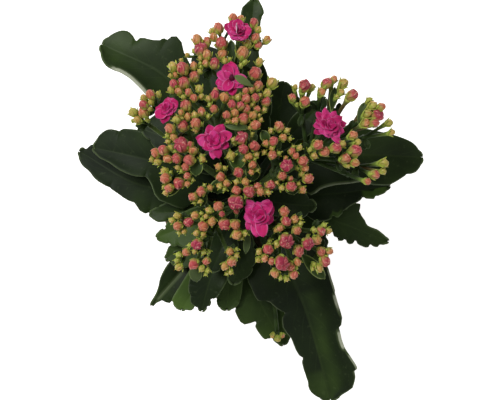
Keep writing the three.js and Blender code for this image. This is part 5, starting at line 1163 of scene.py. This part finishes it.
def stalk_way(spray):
    """The way of a flower stalk, from the main stem to its fork"""
    fork, ahead, _ = stalk_top(spray)
    flat = Vector((fork.x, fork.y, 0))
    start = flat.normalized() * 1.6 + Vector((0, 0, spray.get("low", STEM["top"] - 3.5)))
    rise = fork.z - start.z
    first = start + flat * 0.3 + Vector((0, 0, rise * 0.45))
    second = fork - ahead * rise * 0.35
    t = np.linspace(0, 1, STEM["stalk_rows"])[:, None]
    return (1 - t) ** 3 * start + 3 * (1 - t) ** 2 * t * first + 3 * (1 - t) * t**2 * second + t**3 * fork


def lathe(profile, sides):
    """A turned body from a closed line of (radius, height) that starts and ends on the axis"""
    angles = angles_round(sides)
    ring = np.stack([np.cos(angles), np.sin(angles), np.zeros(sides)], axis=-1)
    rings = [max(radius, 0.001) * ring + np.array((0, 0, height)) for radius, height in profile]
    shape = Shape()
    shape.tube(np.array(rings), marks(0.0))
    return shape


def rounded(profile, radius, steps=4):
    """A line of corners with each one rounded off, except the first and last"""
    line = [profile[0]]
    for before, corner, after in zip(profile, profile[1:], profile[2:]):
        before, corner, after = (np.array(point, float) for point in (before, corner, after))
        back, ahead = before - corner, after - corner
        cut = min(radius, 0.4 * np.linalg.norm(back), 0.4 * np.linalg.norm(ahead))
        start, end = corner + unit(back) * cut, corner + unit(ahead) * cut
        for t in np.linspace(0, 1, steps):
            line.append(tuple((1 - t) ** 2 * start + 2 * (1 - t) * t * corner + t**2 * end))
    return line + [profile[-1]]


def make_pot(look):
    """The pot, with a ring-shaped hollow under it that its drain holes open into"""
    rim_start = POT["height"] - POT["rim_depth"]
    inside = POT["wall"]
    near, far = POT["groove"]
    profile = [
        (0, 0), (near, 0), (near + POT["slope"], POT["foot"]), (far - POT["slope"], POT["foot"]), (far, 0),
        (POT["base"], 0), (POT["body"], rim_start), (POT["rim"], rim_start + 1), (POT["rim"], POT["height"]),
        (POT["rim"] - inside, POT["height"]), (POT["body"] - inside, rim_start),
        (POT["base"] - inside, POT["floor"]), (0, POT["floor"]),
    ]
    body = lathe(rounded(profile, POT["round_off"]), POT["sides"])
    pot = body.piece("pot_wall", look, "pot", "pot", merge=0.01)
    cutters = Shape()
    for i in range(DRAIN["count"]):
        place = polar(DRAIN["circle"], math.tau * i / DRAIN["count"])
        line = [(*place, z) for z in np.linspace(-1, POT["floor"] + 1, 3)]
        cutters.tube(rings_along(line, [DRAIN["radius"]] * 3, DRAIN["sides"]), marks(0.0))
    cutter = cutters.piece("pot_drain_cutter", look)
    cut = pot.modifiers.new("drain", "BOOLEAN")
    cut.operation, cut.object, cut.solver = "DIFFERENCE", cutter, "EXACT"
    shown = bpy.context.evaluated_depsgraph_get()
    whole = bpy.data.meshes.new_from_object(pot.evaluated_get(shown))
    pot.modifiers.clear()
    pot.data = whole
    bpy.data.objects.remove(cutter)


def soil_radius(height):
    """How far the soil reaches at a height, just inside the wall of the pot"""
    rim_start = POT["height"] - POT["rim_depth"]
    share = (height - POT["floor"]) / (rim_start - POT["floor"])
    return POT["base"] - POT["wall"] + share * (POT["body"] - POT["base"]) - SOIL["gap"]


def make_soil(look):
    """The potting soil: a body with a crumbly top, and loose crumbs half sunk in it"""
    top, bottom, hole, hole_bottom = (SOIL[key] for key in ("top", "bottom", "hole", "hole_bottom"))
    edge = soil_radius(top)
    angles = angles_round(SOIL["sides"])
    profile = [(0, bottom), (soil_radius(bottom), bottom), (edge - 0.2, top - 2)]
    profile += [(radius, top) for radius in np.linspace(edge - 1.2, hole + 1.2, SOIL["rows"])]
    profile += [(hole, top - 1), (hole, hole_bottom), (0, hole_bottom)]
    rings = []
    for radius, height in profile:
        ring = [polar(radius, angle) for angle in angles]
        rings.append([(x, y, height + (crumble(x, y) if height == top else 0.0)) for x, y in ring])
    shape = Shape()
    shape.tube(np.array(rings), marks(0.0))
    for _ in range(CRUMBS["count"]):
        radius = math.sqrt(wild.uniform(0.03, 1)) * (edge - 3)
        x, y = polar(radius, any_angle())
        size = wild.uniform(CRUMBS["least"], CRUMBS["most"])
        white = 1.0 if wild.uniform() < CRUMBS["white"] else 0.0
        crumb(shape, (x, y, top + crumble(x, y) + size * 0.2), size, white)
    shape.piece("soil_body", look, "soil", "soil", merge=0.01)


def crumble(x, y):
    """How far the top of the soil lies above or below its mean height"""
    return 0.9 * noise.noise((x * 0.12, y * 0.12, 3.0)) + 0.5 * noise.noise((x * 0.45, y * 0.45, 8.0)) - 0.4


def crumb(shape, centre, size, white):
    heights = np.array([-1, -0.8, -0.3, 0.3, 0.8, 1.0])
    radii = np.sqrt(np.maximum(1 - heights**2, 0.004))
    angles = angles_round(CRUMBS["sides"]) + any_angle()
    rough = wild.uniform(0.7, 1.15, (len(heights), CRUMBS["sides"]))
    x = radii[:, None] * np.cos(angles) * rough * wild.uniform(0.8, 1.4)
    y = radii[:, None] * np.sin(angles) * rough
    z = heights[:, None] * rough * 0.7
    shape.tube(np.array(centre) + size * np.stack([x, y, z], axis=-1), marks(white, 0.0, wild.uniform()))


# Materials


def colour(value):
    """A colour from its hexadecimal sRGB form; a socket stays as it is"""
    if not isinstance(value, str):
        return value
    parts = [int(value[i:i + 2], 16) / 255 for i in (0, 2, 4)]
    return [v / 12.92 if v <= 0.04045 else ((v + 0.055) / 1.055) ** 2.4 for v in parts] + [1.0]


class Look:
    """A material with short ways to add nodes to it"""

    def __init__(self, name, **sockets):
        self.material = bpy.data.materials.new(name)
        self.material.use_nodes = True
        self.tree = self.material.node_tree
        self.shader = self.tree.nodes["Principled BSDF"]
        for label, value in sockets.items():
            self.shader.inputs[label.replace("_", " ")].default_value = value
        self.spot = self.add("ShaderNodeTexCoord").outputs["Object"]

    def set(self, target, value):
        """Links a socket to an input, or sets the input to a value"""
        if isinstance(value, bpy.types.NodeSocket):
            self.tree.links.new(value, target)
        else:
            target.default_value = value

    def add(self, kind, inputs=(), **settings):
        made = self.tree.nodes.new(kind)
        for label, value in settings.items():
            setattr(made, label, value)
        for socket, value in inputs:
            self.set(made.inputs[socket], value)
        return made

    def marks(self, name):
        """The four numbers of an attribute of the mesh"""
        read = self.add("ShaderNodeAttribute", attribute_name=name)
        split = self.add("ShaderNodeSeparateColor", [("Color", read.outputs["Color"])])
        return [*split.outputs[:3], read.outputs["Alpha"]]

    def noise(self, scale, detail=3.0, stretch=None):
        at = self.spot
        if stretch:
            at = self.add("ShaderNodeMapping", [("Vector", at), ("Scale", stretch)]).outputs[0]
        made = self.add("ShaderNodeTexNoise", [("Vector", at), ("Scale", scale), ("Detail", detail)])
        return made.outputs["Fac"]

    def fit(self, value, low, high, start=0.0, end=1.0):
        """A number brought smoothly from one range to another"""
        inputs = [("Value", value), ("From Min", low), ("From Max", high), ("To Min", start), ("To Max", end)]
        return self.add("ShaderNodeMapRange", inputs, interpolation_type="SMOOTHSTEP").outputs[0]

    def maths(self, operation, *values):
        return self.add("ShaderNodeMath", list(enumerate(values)), operation=operation).outputs[0]

    def times(self, first, second):
        return self.maths("MULTIPLY", first, second)

    def over(self, below, above, amount, *span):
        """One colour laid over another by some amount, or as a number runs over (low, high, most)"""
        if span:
            amount = self.fit(amount, *span[:2], 0.0, *span[2:])
        made = self.add("ShaderNodeMix", data_type="RGBA")
        values = dict(Factor_Float=amount, A_Color=colour(below), B_Color=colour(above))
        for socket, value in values.items():
            self.set(next(i for i in made.inputs if i.identifier == socket), value)
        return next(o for o in made.outputs if o.identifier == "Result_Color")

    def ramp(self, value, *stops):
        """A colour that follows a number: each stop is (place, colour)"""
        made = self.add("ShaderNodeValToRGB", [("Fac", value)])
        elements = made.color_ramp.elements
        while len(elements) < len(stops):
            elements.new(0.5)
        for element, (place, shade) in zip(elements, stops):
            element.position = place
            element.color = colour(shade)
        return made.outputs["Color"]

    def finish(self, shade, roughness=None, height=None, distance=0.0002, strength=1.0):
        self.set(self.shader.inputs["Base Color"], shade)
        if roughness:
            self.set(self.shader.inputs["Roughness"], roughness)
        if height:
            inputs = [("Height", height), ("Distance", distance), ("Strength", strength)]
            self.set(self.shader.inputs["Normal"], self.add("ShaderNodeBump", inputs).outputs[0])
        return self.material


def leaf_look():
    """Fleshy dark leaves: cloudy greens, faint veins, a painted highlight on the rim and a paler underside"""
    look = Look("leaf", Specular_IOR_Level=0.1)
    rim, tone, top, _ = look.marks("mask")
    across, along, _, big = look.marks("place")
    big = look.fit(big, 0.4, 0.9)
    cloud = look.noise(30)
    dark = look.ramp(cloud, (0.3, "182114"), (0.5, "202c16"), (0.72, "2e3f1b"))
    light = look.ramp(cloud, (0.3, "3c5024"), (0.7, "577231"))
    shade = look.over(dark, light, tone)
    # Side veins run out and forward from the midrib
    reach = look.maths("ABSOLUTE", look.maths("SUBTRACT", across, 0.5))
    wave = look.maths("SUBTRACT", look.times(along, 9.0), look.times(reach, 5.0))
    from_vein = look.maths("ABSOLUTE", look.maths("SUBTRACT", look.maths("FRACT", wave), 0.5))
    vein = look.times(look.fit(from_vein, 0.08, 0.0), look.fit(reach, 0.46, 0.1))
    midrib = look.fit(reach, 0.035, 0.01)
    lines = look.maths("MAXIMUM", look.times(vein, 0.035), look.times(midrib, 0.05))
    shade = look.over(shade, "6c8447", lines)
    shade = look.over(shade, "7f9160", look.noise(420, 2), 0.62, 0.75, 0.06)
    # Painted shade: big leaves darken towards the stalk, under the flower head
    shade = look.over(shade, "0f1510", look.times(look.fit(along, 0.55, 0.05, 0.0, 0.6), big))
    under = look.ramp(cloud, (0.3, "4a6130"), (0.7, "5f7a3e"))
    shade = look.over(shade, under, top, 1.0, 0.0)
    # Painted highlight along the rims and the middle fold; on light small leaves the same mark gives their
    # paler green
    shade = look.over(shade, "5c6a45", rim, 0.0, 0.5, 0.5)
    shade = look.over(shade, look.over("8f9f58", "a9ae97", big), rim, 0.5, 1.0)
    height = look.maths("ADD", look.times(look.noise(700, 2), 0.2), cloud)
    height = look.maths("SUBTRACT", height, look.times(lines, 3.0))
    return look.finish(shade, look.fit(cloud, 0.3, 0.7, 0.5, 0.38), height, 0.0003, 0.6)


def stem_look():
    """Flower stalks, bud stalks and sepals: yellow where young, green further down, dark green with painted
    shade deep under the head, brown at the foot
    """
    look = Look("stem", Specular_IOR_Level=0.12, Subsurface_Weight=0.05, Subsurface_Scale=0.001)
    yellow, woody, number, _ = look.marks("mask")
    streak = look.noise(240, stretch=(1, 1, 0.18))
    # Painted shade: the dark green of stalks that lie deep under the flower head
    deep = look.ramp(streak, (0.3, "26341a"), (0.7, "3a4d24"))
    green = look.ramp(streak, (0.3, "5c7233"), (0.7, "768a3f"))
    young = look.ramp(streak, (0.3, "98ad3f"), (0.7, "bdc95c"))
    shade = look.over(deep, green, yellow, 0.1, 0.45)
    shade = look.over(shade, young, yellow, 0.45, 0.9)
    shade = look.over(shade, look.ramp(streak, (0.35, "4a3d2b"), (0.65, "6e5f46")), woody)
    shade = look.over(shade, "a96c4c", number, 0.75, 1.0, 0.25)
    return look.finish(shade, look.fit(streak, 0.3, 0.7, 0.6, 0.45), streak, 0.0002, 0.5)


def bud_look():
    """Buds: green-yellow at the foot and while young, then peach, then coral, with painted highlights on the
    petal edges and painted shade in their seams
    """
    look = Look("bud", Specular_IOR_Level=0.25, Subsurface_Weight=0.08, Subsurface_Scale=0.001)
    ripe, height, edge, tint = look.marks("mask")
    number, free, side, _ = look.marks("place")
    mottle = look.noise(650)
    stage = look.maths("ADD", ripe, look.fit(tint, 0.0, 1.0, -0.09, 0.09))
    skin = look.ramp(
        stage, (0.0, "9fad40"), (0.2, "b09f46"), (0.4, "bd7748"), (0.6, "b8584a"), (0.8, "b03f46"),
        (1.0, "991f42"),
    )
    foot = look.ramp(stage, (0.0, "93a63f"), (0.5, "9a9c42"), (1.0, "9a8541"))
    lit = look.ramp(stage, (0.0, "cbc672"), (0.5, "e6a878"), (0.8, "d97f76"), (1.0, "cb6670"))
    # The colours of the painted shade in the seams where petals lap over each other
    lap = look.ramp(stage, (0.0, "6d702c"), (0.5, "83402d"), (1.0, "6d1838"))
    low = look.maths("ADD", height, look.fit(side, 0.0, 1.0, -0.18, 0.1))
    skin = look.over(skin, foot, low, 0.76, 0.44)
    # Painted highlight along the petal edges, stronger on some petals than others
    edge_highlight = look.times(look.fit(edge, 0.66, 0.93), free)
    skin = look.over(skin, lit, look.times(edge_highlight, look.fit(tint, 0.0, 1.0, 0.35, 0.85)))
    # Painted glints on the upper part of a bud
    glint = look.fit(look.noise(900, 2), 0.56, 0.72)
    skin = look.over(skin, "f2cfae", look.times(glint, look.fit(height, 0.4, 0.9, 0.0, 0.55)))
    # Painted shade in the seams where petals lap over each other
    skin = look.over(skin, lap, look.times(look.fit(edge, 0.26, 0.02, 0.0, 0.75), free))
    # Painted highlights in a fine mottle
    skin = look.over(skin, lit, mottle, 0.35, 0.75, 0.25)
    skin = look.over(skin, "8b5a34", number, 0.0, 1.0, 0.16)
    return look.finish(skin, look.fit(mottle, 0.3, 0.7, 0.55, 0.42), mottle, 0.00015, 0.5)


def petal_look():
    """Magenta petals with fine lengthwise streaks, painted shade at the heart and painted highlights at the
    edges
    """
    look = Look("petal", Specular_IOR_Level=0.2, Subsurface_Weight=0.1, Subsurface_Scale=0.001)
    along, aside, layer, number = look.marks("mask")
    across, _, _, _ = look.marks("place")
    streak = look.maths("SINE", look.times(across, 75.0))
    cloud = look.noise(260)
    shade = look.ramp(cloud, (0.3, "bd1c5e"), (0.6, "cd2773"), (0.8, "dd3d8a"))
    # Painted shade: darker towards the heart of the bloom
    shade = look.over(shade, "8a0f3c", along, 0.55, 0.0, 0.85)
    # Painted highlight: lighter towards the edges of each petal
    shade = look.over(shade, "f08cc2", aside, 0.72, 1.0, 0.55)
    shade = look.over(shade, "e85eae", number, 0.5, 1.0, 0.4)
    shade = look.over(shade, "980d50", number, 0.45, 0.0, 0.65)
    shade = look.over(shade, "9c1559", streak, 0.2, 1.0, 0.14)
    shade = look.over(shade, "f3cfe0", layer, 1.0, 2.0, 0.9)
    # Painted shade: the dark eye in the hollow middle of one bloom
    shade = look.over(shade, "3c1020", layer, 0.0, -1.0, 0.9)
    return look.finish(shade, look.fit(cloud, 0.3, 0.7, 0.6, 0.48), streak, 0.00008, 0.6)


def pot_look():
    """Terracotta, a little cloudy, with fine turned lines"""
    look = Look("pot", Specular_IOR_Level=0.4)
    grain = look.noise(1800, 2)
    lines = look.noise(500, 2, stretch=(0.02, 0.02, 1.0))
    shade = look.ramp(look.noise(60, 4), (0.3, "7f4530"), (0.7, "8f5038"))
    shade = look.over(shade, "74402d", lines, 0.4, 0.75, 0.25)
    height = look.maths("ADD", grain, look.times(lines, 0.6))
    return look.finish(shade, look.fit(grain, 0.3, 0.7, 0.62, 0.5), height, 0.0001, 0.5)


def soil_look():
    """Dark peat with brown and white crumbs"""
    look = Look("soil", Specular_IOR_Level=0.25)
    white, _, number, _ = look.marks("mask")
    grit = look.noise(520, 5)
    shade = look.ramp(grit, (0.3, "1e1610"), (0.55, "3a2b1e"), (0.75, "5c4834"))
    shade = look.over(shade, "6b553e", number, 0.4, 1.0, 0.35)
    shade = look.over(shade, "cfc8ba", white)
    return look.finish(shade, look.fit(grit, 0.3, 0.7, 0.95, 0.8), grit, 0.0008, 1.0)


def floor_look():
    """A nearly white table that glows a little"""
    look = Look(
        "floor", Roughness=0.9, Specular_IOR_Level=0.1, Emission_Color=(1, 1, 1, 1), Emission_Strength=0.8,
    )
    return look.finish(look.ramp(look.noise(3), (0.3, "f6f5f3"), (0.7, "fcfbfa")))


# The scene


def make_camera():
    data = bpy.data.cameras.new("camera")
    data.sensor_width = CAMERA["sensor"]
    data.lens = CAMERA["focal_pixels"] / CAMERA["picture_width"] * CAMERA["sensor"]
    data.clip_start, data.clip_end = CAMERA["near"], CAMERA["far"]
    camera = new_object("camera", data)
    camera.location = Vector(CAMERA["place"]) * MM
    bpy.context.scene.camera = camera


def make_light(name, place, size, power):
    """A square soft light that faces the plant"""
    data = bpy.data.lights.new(name, "AREA")
    data.energy, data.size = power, size
    light = new_object(name, data)
    light.location = Vector(place)
    light.rotation_euler = (Vector(LIT_SPOT) - light.location).to_track_quat("-Z", "Y").to_euler()


def make_studio():
    world = bpy.data.worlds.new("studio")
    world.use_nodes = True
    sky = world.node_tree.nodes["Background"]
    sky.inputs["Color"].default_value = (1, 1, 1, 1)
    sky.inputs["Strength"].default_value = SKY
    bpy.context.scene.world = world
    bpy.context.scene.view_settings.view_transform = "Standard"
    for name, light in LIGHTS.items():
        make_light(name, **light)
    mesh = bpy.data.meshes.new("floor")
    reach, height = FLOOR["reach"], FLOOR["height"]
    corners = [(x * reach, y * reach, height) for x, y in ((-1, -1), (1, -1), (1, 1), (-1, 1))]
    mesh.from_pydata(corners, [], [(0, 1, 2, 3)])
    mesh.materials.append(floor_look())
    new_object("floor", mesh)


make_camera()
make_studio()
looks = dict(leaf=leaf_look(), stem=stem_look(), bud=bud_look(), petal=petal_look())
make_pot(pot_look())
make_soil(soil_look())
stem_shape().piece("stem_stalks", looks["stem"], "stem", "stem")
for i, leaf in enumerate(LEAVES, 1):
    shape = Shape()
    leaf_shape(shape, leaf)
    shape.piece(f"leaf_{i:02d}_blade", looks["leaf"], f"leaf_{i:02d}", "leaf", merge=0.01)
buds = place_buds()
for s, spray in enumerate(SPRAYS):
    spray_pieces(s, spray, buds, looks)
for number, (spray, bloom) in enumerate(BLOOMS):
    shape = Shape()
    bloom_shape(shape, spray, bloom, number)
    shape.piece(f"bloom_{number + 1}_petals", looks["petal"], f"bloom_{number + 1}", "petal", merge=0.004)
